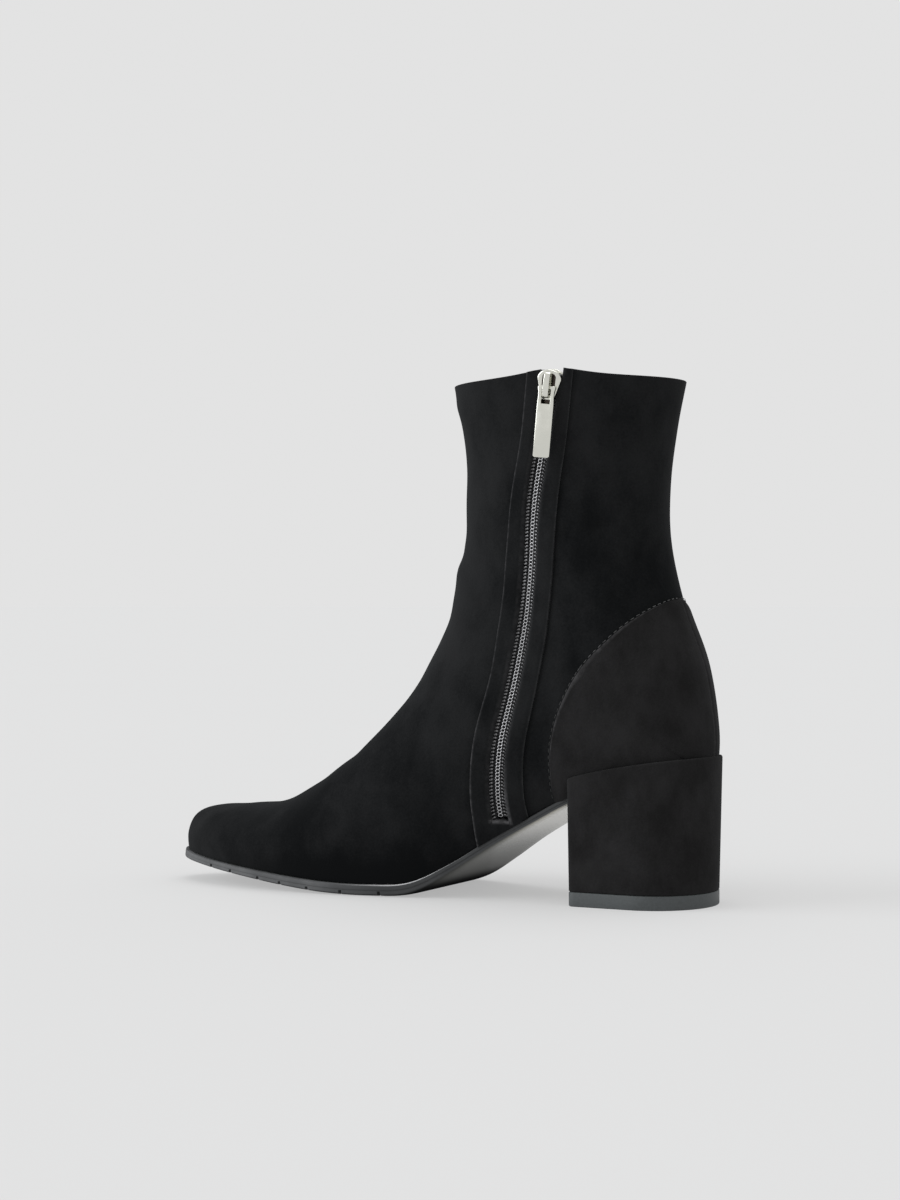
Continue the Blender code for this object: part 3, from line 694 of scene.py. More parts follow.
class ZipLine:
    """The zip's middle line in the side view, read by distance down from the collar."""

    POINTS = 400
    OVERRUN = 24.0
    TANGENT_STEP = 1.0
    UP_STEP = 2.0

    def __init__(self):
        line = traced(ZIP_LINE, self.POINTS)
        top = line[0] + self.OVERRUN * unit(line[0] - line[1])
        end = line[-1] + self.OVERRUN * unit(line[-1] - line[-2])
        self.length = distances(line)[-1]
        self.line = np.vstack([top, line, end])
        self.distance = distances(self.line) - self.OVERRUN

    def middle(self, distance):
        return read_line(distance, self.distance, self.line)

    def tangent(self, distance):
        return unit(self.middle(distance + self.TANGENT_STEP) - self.middle(distance - self.TANGENT_STEP))

    def side_view(self, distance, across):
        """Place in the side view; across is positive towards the toe."""
        middle = self.middle(distance)
        run = self.tangent(distance)
        return middle[..., 0] - across * run[..., 1], middle[..., 1] + across * run[..., 0]

    def on_skin(self, distance, across, out=0.0):
        at, turn = locate(*self.side_view(distance, across), INNER)
        return skin(at, turn, INNER, out)

    def measure(self, x, z):
        """Distance down the zip and across it of places in the side view."""
        places = np.stack([x, z], axis=-1)
        gaps = np.linalg.norm(places[:, None] - self.line[None, 1:-1], axis=-1)
        distance = self.distance[1 + gaps.argmin(axis=1)]
        run = self.tangent(distance)
        offset = places - self.middle(distance)
        return distance, run[:, 0] * offset[:, 1] - run[:, 1] * offset[:, 0]

    def frames(self, distance, across=0.0, out=0.0):
        """Points on the skin with the directions across the zip, up along it and out of the boot."""
        distance = np.asarray(distance, float)
        point = self.on_skin(distance, across, out)
        above = self.on_skin(distance - self.UP_STEP, across)
        up = unit(above - self.on_skin(distance + self.UP_STEP, across))
        normal = skin_normal(*locate(*self.side_view(distance, across), INNER), INNER)
        sideways = unit(np.cross(up, normal))
        return point, sideways, up, np.cross(sideways, up)


ZIP = ZipLine()


def to_world(points):
    return HEEL_BACK + MM * np.asarray(points, float)


def to_table(points):
    return (np.asarray(points, float) - HEEL_BACK) / MM


def pick(*pieces):
    """Selects these pieces alone, with the first of them active."""
    bpy.ops.object.select_all(action="DESELECT")
    for piece in pieces:
        piece.select_set(True)
    bpy.context.view_layer.objects.active = pieces[0]


def rename(piece, name):
    piece.name = name
    piece.data.name = name
    return piece


def add(name, primitive, **settings):
    """Adds one of Blender's primitives, selected alone, and names it."""
    bpy.ops.object.select_all(action="DESELECT")
    primitive(**settings)
    return rename(bpy.context.object, name)


@contextmanager
def editing(piece, mode="VERT"):
    """Edit mode on one piece, with all of it selected."""
    pick(piece)
    bpy.ops.object.mode_set(mode="EDIT")
    bpy.ops.mesh.select_mode(type=mode)
    bpy.ops.mesh.select_all(action="SELECT")
    yield
    bpy.ops.object.mode_set(mode="OBJECT")


def select_only(piece, kind, wanted):
    """In edit mode, selects the edges or faces that a test wants."""
    bpy.ops.mesh.select_all(action="DESELECT")
    bm = bmesh.from_edit_mesh(piece.data)
    for element in getattr(bm, kind):
        element.select = bool(wanted(element))
    bm.select_flush_mode()
    bmesh.update_edit_mesh(piece.data)


def weld(piece):
    with editing(piece):
        bpy.ops.mesh.remove_doubles(threshold=WELD)


def drop_faces(piece, gone):
    """Deletes the faces whose numbers are marked as gone."""
    with editing(piece, "FACE"):
        select_only(piece, "faces", lambda face: gone[face.index])
        bpy.ops.mesh.delete(type="FACE")


def sheet(name, points):
    """A grid whose vertices are laid on rows and columns of points in millimetres."""
    rows, columns = points.shape[:2]
    piece = add(name, bpy.ops.mesh.primitive_grid_add, x_subdivisions=columns - 1, y_subdivisions=rows - 1)
    piece.data.vertices.foreach_set("co", to_world(points).ravel())
    piece.data.update()
    return piece


def loft(name, rings, **marks):
    """A closed solid through rings of points in millimetres, filled at both ends."""
    rings = np.asarray(rings, float)
    piece = sheet(name, np.concatenate([rings, rings[:, :1]], axis=1))
    for label, values in marks.items():
        mark(piece, label, np.concatenate([values, values[:, :1]], axis=1))
    with editing(piece):
        bpy.ops.mesh.remove_doubles(threshold=WELD)
        bpy.ops.mesh.fill_holes(sides=0)
        bpy.ops.mesh.normals_make_consistent(inside=False)
    return piece


def plate(name, outline, low, high, matrix, edge=0.0):
    """A flat outline in a frame of its own, raised from low to high, with its edges rounded if asked."""
    piece = add(name, bpy.ops.mesh.primitive_circle_add, vertices=len(outline), fill_type="NGON")
    for vertex, (x, y) in zip(piece.data.vertices, outline):
        vertex.co = Vector((x, y, low)) * MM
    with editing(piece):
        rise = {"value": (0.0, 0.0, (high - low) * MM)}
        bpy.ops.mesh.extrude_region_move(TRANSFORM_OT_translate=rise)
        bpy.ops.mesh.select_all(action="SELECT")
        bpy.ops.mesh.normals_make_consistent(inside=False)
        if edge:
            bpy.ops.mesh.select_mode(type="EDGE")
            select_only(piece, "edges", is_level)
            bpy.ops.mesh.bevel(offset=edge * MM, segments=EDGE_SEGMENTS, affect="EDGES", clamp_overlap=True)
    piece.data.transform(matrix)
    return piece


def is_level(edge):
    return abs(edge.verts[0].co.z - edge.verts[1].co.z) < WELD


def rectangle(half_width, low, high):
    return [(-half_width, low), (half_width, low), (half_width, high), (-half_width, high)]


def modify(piece, kind, **settings):
    """Adds a modifier and applies it."""
    pick(piece)
    bpy.ops.object.modifier_add(type=kind)
    modifier = piece.modifiers[-1]
    for name, value in settings.items():
        setattr(modifier, name, value)
    bpy.ops.object.modifier_apply(modifier=modifier.name)


def cut(piece, cutter):
    modify(piece, "BOOLEAN", operation="DIFFERENCE", solver="EXACT", object=cutter)
    bpy.data.objects.remove(cutter, do_unlink=True)


def join(name, pieces):
    pick(*pieces)
    bpy.ops.object.join()
    return rename(pieces[0], name)


def thicken(piece, thickness, even=True):
    """Grows a sheet inwards. even keeps the wall's thickness at folds; slivers can't take that."""
    modify(piece, "SOLIDIFY", thickness=thickness, offset=-1.0, use_even_offset=even)


def mark(piece, name, values):
    """Keeps a value on each vertex, which the piece's finish reads by name."""
    attribute = piece.data.attributes.new(name, "FLOAT", "POINT")
    attribute.data.foreach_set("value", np.asarray(values, np.float32).ravel())


def repeat(name, model, frames):
    """One mesh with a copy of the model at each frame of point, sideways, up and out, in millimetres."""
    point, sideways, up, out = frames
    corners = np.array([vertex.co for vertex in model.data.vertices]) / MM
    axes = np.stack([sideways, up, out], axis=1)
    copies = point[:, None] + np.einsum("vk,nkd->nvd", corners, axes)
    faces = [np.array(face.vertices) for face in model.data.polygons]
    shifts = np.arange(len(point)) * len(corners)
    mesh = bpy.data.meshes.new(name)
    mesh.from_pydata(
        to_world(copies.reshape(-1, 3)).tolist(),
        [],
        [(face + shift).tolist() for shift in shifts for face in faces],
    )
    bpy.data.objects.remove(model, do_unlink=True)
    piece = bpy.data.objects.new(name, mesh)
    bpy.context.scene.collection.objects.link(piece)
    return piece


def finish_piece(piece, finish, slot, body, *nodes, angle=40.0):
    """Smooths a piece, gives it its finish and ties it to the frame."""
    pick(piece)
    bpy.ops.object.shade_smooth_by_angle(angle=math.radians(angle))
    piece.data.materials.clear()
    piece.data.materials.append(material_of(finish))
    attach(piece, body)
    if nodes:
        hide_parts(*nodes)


def maths(operation, turned=False):
    """A sum on values, which adds a Math node. Its reflected form is turned."""

    def method(self, other):
        first, second = (other, self) if turned else (self, other)
        return self.finish.node("ShaderNodeMath", {"operation": operation}, {0: first, 1: second})

    return method


class Value:
    """A value in a finish's nodes, on which sums can be written."""

    def __init__(self, finish, socket):
        self.finish = finish
        self.socket = socket

    __add__ = maths("ADD")
    __radd__ = maths("ADD", turned=True)
    __sub__ = maths("SUBTRACT")
    __rsub__ = maths("SUBTRACT", turned=True)
    __mul__ = maths("MULTIPLY")
    __rmul__ = maths("MULTIPLY", turned=True)


class Nodes:
    """A tree of shader nodes."""

    def __init__(self, tree):
        self.tree = tree

    def feed(self, socket, value):
        if isinstance(value, Value):
            self.tree.links.new(value.socket, socket)
        else:
            socket.default_value = value

    def node(self, kind, settings=None, sockets=None, output=0):
        """Adds a node: its settings first, then the values or links of its sockets."""
        node = self.tree.nodes.new(kind)
        for name, value in (settings or {}).items():
            setattr(node, name, value)
        for name, value in (sockets or {}).items():
            self.feed(node.inputs[name], value)
        return Value(self, node.outputs[output])

    def ramp(self, value, low, high, start=0.0, end=1.0):
        """Moves smoothly from start to end as the value goes from low to high."""
        settings = {"interpolation_type": "SMOOTHSTEP", "clamp": True}
        sockets = {"Value": value, "From Min": low, "From Max": high, "To Min": start, "To Max": end}
        return self.node("ShaderNodeMapRange", settings, sockets)


class Finish(Nodes):
    """One material's nodes, which end in its Principled shader."""

    def __init__(self, name, constants):
        self.material = bpy.data.materials.new(name)
        self.material.use_nodes = True
        super().__init__(self.material.node_tree)
        self.shader = self.tree.nodes["Principled BSDF"]
        for socket, value in constants.items():
            self.give(socket, value)
        self.place = self.node("ShaderNodeTexCoord", output="Object")

    def give(self, socket, value):
        self.feed(self.shader.inputs[socket], value)

    def stretched(self, scale, turn=(0.0, 0.0, 0.0)):
        sockets = {"Vector": self.place, "Scale": scale, "Rotation": turn}
        return self.node("ShaderNodeMapping", {"vector_type": "POINT"}, sockets)

    def noise(self, size, detail=3.0, roughness=0.55, vector=None):
        """Cloudy noise whose clouds are about this size in metres."""
        vector = vector or self.place
        sockets = {"Vector": vector, "Scale": 1 / size, "Detail": detail, "Roughness": roughness}
        return self.node("ShaderNodeTexNoise", None, sockets)

    def waves(self, vector, scale, distortion, direction):
        sockets = {"Vector": vector, "Scale": scale, "Distortion": distortion}
        return self.node("ShaderNodeTexWave", {"bands_direction": direction}, sockets, output="Fac")

    def blend(self, share, first, second):
        """Mixes two colours."""
        sockets = {0: share, 6: opaque(first), 7: opaque(second)}
        return self.node("ShaderNodeMix", {"data_type": "RGBA"}, sockets, output=2)

    def axis(self, name):
        return self.node("ShaderNodeSeparateXYZ", None, {"Vector": self.place}, output=name)

    def marked(self, name):
        """What mark keeps on the piece's vertices under this name."""
        return self.node("ShaderNodeAttribute", {"attribute_name": name}, output="Fac")

    def bump(self, height, strength, distance):
        sockets = {"Height": height, "Strength": strength, "Distance": distance}
        self.give("Normal", self.node("ShaderNodeBump", None, sockets))


def opaque(colour):
    return colour if isinstance(colour, Value) else (*colour, 1.0)


def toned(share, colour):
    return tuple(share * value for value in colour)


def material_of(finish):
    """The material that a finish's function makes on its first use, under the function's name."""
    return bpy.data.materials.get(finish.__name__) or finish(bpy.context.scene.boot_colours)


def suede(name, dark, light, edge_colour, cloud):
    """Suede with cloudy nap, brush marks and fibres. Raw edges are paler, partly as a painted highlight, and
    the nap lies as marked, which also lays painted light and shade on it.
    """
    constants = {
        "Roughness": 0.96,
        "Specular IOR Level": 0.0,
        "Sheen Weight": 0.05,
        "Sheen Roughness": 0.45,
        "Sheen Tint": (0.86, 0.88, 0.90, 1.0),
    }
    finish = Finish(name, constants)
    brushed = finish.stretched((1.0, 1.0, 0.62), (0.0, 0.75, 0.0))
    clouds = finish.noise(cloud, detail=2.0, roughness=0.5)
    strokes = finish.noise(0.33 * cloud, detail=4.0, roughness=0.6, vector=brushed)
    fibres = finish.noise(0.0009, detail=3.0, roughness=0.7)
    # The marked nap adds painted light and shade to the lay
    lay = 0.42 * clouds + 0.34 * strokes + 0.24 * fibres + 0.24 * finish.marked("nap")
    colour = finish.blend(finish.ramp(lay, 0.30, 0.70), dark, light)
    # Pale edges, broken up by noise: raw suede with a painted highlight
    edge_paleness = finish.ramp(finish.noise(0.0022, detail=3.0), 0.35, 0.65, 0.35, 1.0)
    finish.give("Base Color", finish.blend(finish.marked("pale_edge") * edge_paleness, colour, edge_colour))
    finish.bump(0.7 * fibres + 0.3 * strokes, 0.30, 0.0006)
    return finish.material


def brushed_suede(colours):
    return suede("brushed_suede", colours.suede_dark, colours.suede_light, colours.cut_edge, 0.030)


def heel_suede(colours):
    return suede("heel_suede", colours.heel_dark, colours.heel_light, colours.cut_edge, 0.018)


def lining_leather(colours):
    finish = Finish("lining_leather", {"Specular IOR Level": 0.35})
    grain = finish.noise(0.0016, detail=4.0, roughness=0.6)
    patches = finish.noise(0.020, detail=2.0)
    finish.give("Base Color", finish.blend(patches, toned(0.6, colours.lining), colours.lining))
    finish.give("Roughness", finish.ramp(grain, 0.3, 0.7, 0.55, 0.75))
    finish.bump(grain, 0.25, 0.0004)
    return finish.material


def moulded_rubber(colours):
    """Matt grained rubber, paler round the forepart, partly as painted light, with a smooth waist beneath,
    glossy at the heel, where its colour grows into a painted reflection, and painted shade on the underside.
    """
    finish = Finish("moulded_rubber", {"Specular IOR Level": 0.0, "Coat Roughness": 0.12})
    heel, arch, waist, ball, fore = (float(to_world((x, 0, 0))[0]) for x in SOLE_FINISH_X)
    x, z = finish.axis("X"), finish.axis("Z")
    beneath = finish.marked("underside")
    off_floor = finish.ramp(z, WAIST_LIFT[0] * MM, WAIST_LIFT[1] * MM)
    # Gloss beneath the waist, which also carries the painted reflection into the colour
    polish_and_reflection = beneath * off_floor * finish.ramp(x, heel, waist, 1.0, 0.0)
    grain = finish.noise(0.0007, detail=2.0)
    dust = finish.noise(0.012, detail=4.0, roughness=0.6)
    # Painted light: the forepart is paler in patches towards the toe, partly rubbed rubber
    scuffed_and_lit = finish.ramp(x, ball, fore) * finish.ramp(dust, 0.35, 0.65, 0.6, 1.0)
    tone = finish.blend(dust, toned(0.70, colours.sole), colours.sole)
    tone = finish.blend(scuffed_and_lit, tone, colours.sole_fore)
    # Painted shade: the underside is darkened, most where it is nearest the floor
    tone = finish.blend(beneath * (1 - 0.3 * off_floor), tone, toned(0.13, colours.sole))
    # Painted highlight on the lip at the ball
    tone = finish.blend(finish.marked("lip"), tone, colours.sole_lip)
    # The waist's colour grows into a painted reflection towards the heel
    waist_and_reflection = finish.blend(finish.ramp(x, heel, arch, 1.0, 0.0), colours.waist, colours.waist_end)
    finish.give("Base Color", finish.blend(polish_and_reflection, tone, waist_and_reflection))
    finish.give("Roughness", 0.55 + 0.14 * dust * (1 - beneath) - 0.20 * beneath)
    finish.give("Coat Weight", polish_and_reflection)
    finish.bump(grain * (1 - beneath), 0.12, 0.0003)
    return finish.material


def heel_rubber(colours):
    finish = Finish("heel_rubber", {"Specular IOR Level": 0.4})
    specks = finish.noise(0.0011, detail=3.0, roughness=0.7)
    scuffs = finish.noise(0.010, detail=3.0, vector=finish.stretched((0.4, 0.4, 2.0)))
    tone = finish.ramp(0.5 * specks + 0.5 * scuffs, 0.35, 0.65)
    finish.give("Base Color", finish.blend(tone, toned(0.75, colours.top_piece), colours.top_piece))
    finish.give("Roughness", finish.ramp(scuffs, 0.3, 0.7, 0.5, 0.68))
    finish.bump(specks, 0.15, 0.0003)
    return finish.material


def zip_tape_weave(colours):
    finish = Finish("zip_tape_weave", {"Roughness": 0.92, "Sheen Weight": 0.15})
    weave = finish.waves(finish.stretched((1.0, 1.0, 1.0), (0.0, 0.6, 0.0)), 420.0, 0.4, "X")
    finish.give("Base Color", finish.blend(weave, colours.tape, toned(1.9, colours.tape)))
    finish.bump(weave, 0.4, 0.0003)
    return finish.material


def coil_wire(colours):
    finish = Finish("coil_wire", {"Metallic": 0.75})
    wear = finish.noise(0.0030, detail=3.0)
    # Painted shade darkens the turns and the heads' flanks, leaving the heads' tops bright
    dyed = finish.marked("dyed") * 0.64 + 0.20 * wear
    finish.give("Base Color", finish.blend(dyed, colours.coil, toned(0.08, colours.coil)))
    finish.give("Roughness", finish.ramp(wear, 0.3, 0.7, 0.42, 0.28))
    return finish.material


def polished_nickel(colours):
    finish = Finish("polished_nickel", {"Metallic": 1.0})
    brushed = finish.noise(0.0025, detail=3.0, vector=finish.stretched((6.0, 6.0, 1.0)))
    smudge = finish.noise(0.006, detail=3.0)
    bright = finish.blend(smudge, toned(0.86, colours.nickel), colours.nickel)
    # Painted shade and dark reflection in the slider's hollows and under its tail
    finish.give("Base Color", finish.blend(finish.marked("tarnish"), bright, colours.tarnish))
    finish.give("Roughness", finish.ramp(smudge, 0.3, 0.7, 0.12, 0.24))
    finish.bump(brushed, 0.04, 0.0001)
    return finish.material


def sewing_thread(colours):
    """Thread that is pale along the upper part of a seam and darker towards the bottom."""
    finish = Finish("sewing_thread", {"Roughness": 0.75, "Sheen Weight": 0.1})
    twist = finish.waves(finish.place, 900.0, 1.0, "DIAGONAL")
    wear = finish.ramp(finish.noise(0.009, detail=2.0), 0.35, 0.65, 0.4, 1.0)
    pale_above = finish.ramp(finish.axis("Z"), PALE_THREAD[0] * MM, PALE_THREAD[1] * MM, 0.03, 1.0)
    finish.give("Base Color", finish.blend(wear * pale_above, toned(0.15, colours.thread), colours.thread))
    finish.bump(twist, 0.3, 0.0002)
    return finish.material


def studio_paper(colours):
    """Pale paper, lit from above and a little from below."""
    constants = {
        "Roughness": 1.0,
        "Specular IOR Level": 0.0,
        "Emission Color": WHITE,
        "Emission Strength": bpy.context.scene.boot_stage.floor_glow,
    }
    finish = Finish("studio_paper", constants)
    fleck = finish.noise(0.4, detail=2.0)
    finish.give("Base Color", finish.blend(fleck, toned(0.985, colours.floor), colours.floor))
    return finish.material


def arch_turns(low_steps, high_steps):
    return np.append(np.linspace(0, 1, low_steps + 1), np.linspace(1, 2, high_steps + 1)[1:])


def arch_grid(rows, low_steps, high_steps, out):
    """Points over both sides of the skin, one arch a row, from the outer feather line to the inner one."""
    turn = arch_turns(low_steps, high_steps)
    inner = skin(rows[:, None], turn, INNER, out)
    outer = skin(rows[:, None], turn, OUTER, out)
    return np.concatenate([outer, inner[:, -2::-1]], axis=1)


def open_zip(piece, half_width):
    """Takes out the faces of a skin that lie behind the zip."""
    centres = np.array([to_table(face.center) for face in piece.data.polygons])
    distance, across = ZIP.measure(centres[:, 0], centres[:, 2])
    behind = (np.abs(across) < half_width) & (distance < ZIP.length - ZIP_GAP_END)
    drop_faces(piece, behind & (centres[:, 1] > 0))


class BOOT_OT_upper(bpy.types.Operator):
    """Lay the suede over the last, from the toe to the collar"""

    bl_idname = "boot.upper"
    bl_label = "Upper"

    ROWS_PER_SECTION = 9
    LOW_STEPS = 26
    HIGH_STEPS = 30
    GAP_HALF_WIDTH = 5.6
    COLLAR_BAND = 0.4
    SHARP_ANGLE = math.radians(50)

    def execute(self, context):
        sizes = context.scene.boot_sizes
        rows = np.linspace(0, LAST_ROW, self.ROWS_PER_SECTION * LAST_ROW + 1)
        piece = sheet("suede_upper", arch_grid(rows, self.LOW_STEPS, self.HIGH_STEPS, 0.0))
        turn = arch_turns(self.LOW_STEPS, self.HIGH_STEPS)
        # The nap mark lays painted light and shade on the upper, as well as the nap's lie
        mark(piece, "nap", self.nap(rows[:, None], np.append(turn, turn[-2::-1])))
        weld(piece)
        open_zip(piece, self.GAP_HALF_WIDTH)
        thicken(piece, sizes.suede)
        with editing(piece, "EDGE"):
            select_only(piece, "edges", self.on_collar)
            bpy.ops.mesh.bevel(offset=sizes.collar_round, segments=EDGE_SEGMENTS, affect="EDGES")
        finish_piece(piece, brushed_suede, "suede", "boot", "upper", angle=SOFT_ANGLE)
        return {"FINISHED"}

    def nap(self, at, turn):
        """Painted light and shade on the nap: paler up the front and behind at the collar, darker on the
        toe, the low vamp and the back.
        """
        instep = smooth_step(10, 12.5, at) - 1.2 * (1 - smooth_step(8, 11, at))
        front = smooth_step(0.95, 1.75, turn) * instep
        low = (1 - smooth_step(0.35, 1.25, turn)) * smooth_step(4, 7, at) * (1 - smooth_step(9, 11, at))
        behind = 1 - smooth_step(0.75, 1.25, turn)
        rear = behind * smooth_step(15, 17, at) * (1 - smooth_step(20.5, 22.0, at))
        top = behind * smooth_step(21, 22.5, at)
        return 0.55 * front - 1.2 * low - 0.5 * rear + 0.25 * top

    def on_collar(self, edge):
        if not edge.is_manifold or edge.calc_face_angle() < self.SHARP_ANGLE:
            return False
        places = [to_table(vertex.co) for vertex in edge.verts]
        return all(z > COLLAR_Z + collar_lift(LAST_ROW, x, y) - self.COLLAR_BAND for x, y, z in places)


class BOOT_OT_lining(bpy.types.Operator):
    """Line the inside of the upper, and lay the sock on its floor"""

    bl_idname = "boot.lining"
    bl_label = "Lining and sock"

    ROWS_PER_SECTION = 5
    LOW_STEPS = 16
    HIGH_STEPS = 18
    FIRST_ROW = 0.5
    BELOW_COLLAR = 0.05
    GAP_HALF_WIDTH = 5.0
    SOCK_ROWS_PER_SECTION = 8
    SOCK_COLUMNS = 25
    SOCK_INSET = 2.8
    SOCK_THICKNESS = 2.5
    SOCK_DISH = 0.5
    SOCK_EDGE = 0.35
    SOCK_EDGE_START = 0.97

    def execute(self, context):
        sizes = context.scene.boot_sizes
        steps = self.ROWS_PER_SECTION * LAST_ROW
        rows = np.linspace(self.FIRST_ROW, LAST_ROW - self.BELOW_COLLAR, steps)
        lining = sheet("lining", arch_grid(rows, self.LOW_STEPS, self.HIGH_STEPS, -mm(sizes.suede)))
        weld(lining)
        open_zip(lining, self.GAP_HALF_WIDTH)
        thicken(lining, sizes.lining)
        finish_piece(lining, lining_leather, "sock_lining", "boot", angle=SOFT_ANGLE)
        finish_piece(self.sock(), lining_leather, "sock_lining", "boot", "insole")
        return {"FINISHED"}

    def sock(self):
        """A board rounded at its edge and a little dished along its middle."""
        rows = np.linspace(0, SEAT_ROW, self.SOCK_ROWS_PER_SECTION * SEAT_ROW + 1)
        inner, outer = plan_outline(rows, -self.SOCK_INSET)
        across = np.sin(np.linspace(-1, 1, self.SOCK_COLUMNS) * math.pi / 2)
        past = (np.abs(across) - self.SOCK_EDGE_START) / (1 - self.SOCK_EDGE_START)
        dish = self.SOCK_THICKNESS - self.SOCK_DISH * (1 - across**2)
        height = dish - self.SOCK_EDGE * np.clip(past, 0, 1)
        around = [*zip(across, height), *((place, 0.0) for place in across[::-1])]
        return loft("sock", np.stack([self.level(inner, outer, *place) for place in around], axis=1))

    def level(self, inner, outer, across, height):
        plan = mix(outer, inner, (across + 1) / 2)
        return np.column_stack([plan, feather_height(plan[:, 0]) + height])


class BOOT_OT_facings(bpy.types.Operator):
    """Lay the suede facings on both sides of the zip, folded in along its window"""

    bl_idname = "boot.facings"
    bl_label = "Zip facings"

    STRIP_STEPS = 12
    WINDOW_STEPS = 8
    ROW_STEP = 1.1
    FOOT_STEPS = 14
    FOOT_CROWDING = 1.8
    SEARCH_STEPS = 24
    TOP_SEARCH = (-6.0, 12.0)
    FOOT_SEARCH = (WINDOW_END - 4.0, WINDOW_END + 20.0)
    ABOVE_FEATHER = 0.2
    BACKING = 0.5
    # Front and rear facing: share of the rise that is left at the seam, and how pale seam and fold are;
    # the paleness is raw suede with a painted highlight
    SEAM_RISE = (0.7, 0.2)
    SEAM_PALE = (0.46, 0.14)
    FOLD_PALE = (0.22, 0.12)
    SEAM_SLOPE = 1.8
    SEAM_WIDTH = 0.40
    FOLD_WIDTH = 0.25
    # Seams and the rear fold grow paler towards the window's end, between these distances, as a painted
    # highlight
    WORN_SEAM = (125.0, 165.0)
    WORN_SEAM_PALE = 0.5
    WORN_FOLD = (WINDOW_END - 26.0, WINDOW_END - 4.0)
    WORN_FOLD_PALE = 0.75
    END_PALE = 0.8
    REAR_NAP = 0.15

    def execute(self, context):
        sizes = context.scene.boot_sizes
        distance, across, inside = self.grid()
        edges = self.edges(distance, across)
        out = self.height(across, *edges, mm(sizes.facing_rise), mm(sizes.facing_fold))
        piece = sheet("zip_facings", ZIP.on_skin(distance, across, out)[:, ::-1])
        mark(piece, "pale_edge", self.paleness(distance, across, *edges)[:, ::-1])
        # Painted light: the rear facing is paler, against the shade beside the zip
        mark(piece, "nap", np.where(across > 0, 0.0, self.REAR_NAP)[:, ::-1])
        drop_faces(piece, inside[:, ::-1].ravel())
        thicken(piece, sizes.facing_rise + self.BACKING * MM, even=False)
        finish_piece(piece, brushed_suede, "suede", "boot", "upper", angle=FOLD_ANGLE)
        return {"FINISHED"}

    def height(self, across, to_window, to_seam, rise, fold):
        """The strips are lower at their seams, and folded in at the window."""
        seam_rise = np.where(across > 0, *self.SEAM_RISE)
        near = np.clip(fold - to_window, 0, fold)
        out = rise * (seam_rise + (1 - seam_rise) * smooth_step(0, self.SEAM_SLOPE, to_seam))
        return out - fold + np.sqrt(fold**2 - near**2)

    def paleness(self, distance, across, to_window, to_seam):
        """Raw suede shows along the seams and the folds, with a painted highlight on them, most along the
        front seam and towards the window's end.
        """
        front, rear = self.FOLD_PALE
        seam = np.where(across > 0, *self.SEAM_PALE) * bell(to_seam, self.SEAM_WIDTH)
        seam = seam * (1 + self.WORN_SEAM_PALE * smooth_step(*self.WORN_SEAM, distance))
        edge_paleness = rear + self.WORN_FOLD_PALE * smooth_step(*self.WORN_FOLD, distance)
        fold = np.where(across > 0, front, edge_paleness)
        fold = np.where(distance > WINDOW_END - 1.0, self.END_PALE, fold)
        return np.maximum(seam, fold * bell(to_window - self.FOLD_WIDTH, self.FOLD_WIDTH))

    def grid(self):
        """Distance and across of the grid's points, and the faces inside the window."""
        weights = self.columns()
        top = self.meet(weights, *self.TOP_SEARCH, self.below_collar)
        end = self.window_end(self.across(WINDOW_END, weights))
        low = self.meet(weights, *self.FOOT_SEARCH, self.below_feather)
        rows = int(WINDOW_END / self.ROW_STEP)
        beside = mix(top, end, np.linspace(0, 1, rows + 1)[:, None])
        beneath = mix(end, low, np.linspace(0, 1, self.FOOT_STEPS + 1)[1:, None] ** self.FOOT_CROWDING)
        distance = np.vstack([beside, beneath])
        inside = np.zeros((len(distance) - 1, len(weights) - 1), bool)
        inside[:rows, self.STRIP_STEPS : -self.STRIP_STEPS] = True
        return distance, self.across(distance, weights), inside

    def columns(self):
        """Each column's shares of the heel's reach, the window's half width and the toe's reach."""
        share = (1 - np.cos(np.linspace(0, math.pi, self.STRIP_STEPS + 1))) / 2
        inner = np.linspace(-1, 1, self.WINDOW_STEPS + 1)[1:-1]
        none = np.zeros_like(share)
        heel = np.column_stack([share - 1, -share, none])
        window = np.column_stack([0 * inner, inner, 0 * inner])
        toe = np.column_stack([none, 1 - share, share])
        return np.vstack([heel, window, toe])

    def across(self, distance, weights):
        half = WINDOW_HALF + zip_opening(distance)
        toe, heel = facing_reach(distance)
        return weights[:, 0] * heel + weights[:, 1] * half + weights[:, 2] * toe

    def window_end(self, across):
        """The window's end is square with rounded corners."""
        past = np.clip(np.abs(across) - (WINDOW_HALF - WINDOW_CORNER), 0, WINDOW_CORNER)
        return WINDOW_END - WINDOW_CORNER + np.sqrt(WINDOW_CORNER**2 - past**2)

    def meet(self, weights, low, high, passed):
        """Where each column first passes a line, looked for between two distances."""
        low = np.full(len(weights), low)
        high = np.full(len(weights), high)
        for _ in range(self.SEARCH_STEPS):
            middle = (low + high) / 2
            there = passed(*ZIP.side_view(middle, self.across(middle, weights)))
            low, high = np.where(there, low, middle), np.where(there, middle, high)
        return (low + high) / 2

    def below_collar(self, x, z):
        y = smooth_skin(*locate(x, z, INNER), INNER)[..., 1]
        return z < COLLAR_Z + collar_lift(LAST_ROW, x, y)

    def below_feather(self, x, z):
        return z < feather_height(x) + self.ABOVE_FEATHER

    def edges(self, distance, across):
        """How far each point is from the window and from the seam outside."""
        beside = np.maximum(np.abs(across) - WINDOW_HALF - zip_opening(distance), 0)
        beneath = distance - WINDOW_END
        to_window = np.where(beneath > 0, np.hypot(beside, beneath), beside)
        toe, heel = facing_reach(distance)
        return to_window, np.where(across > 0, toe - across, heel + across)


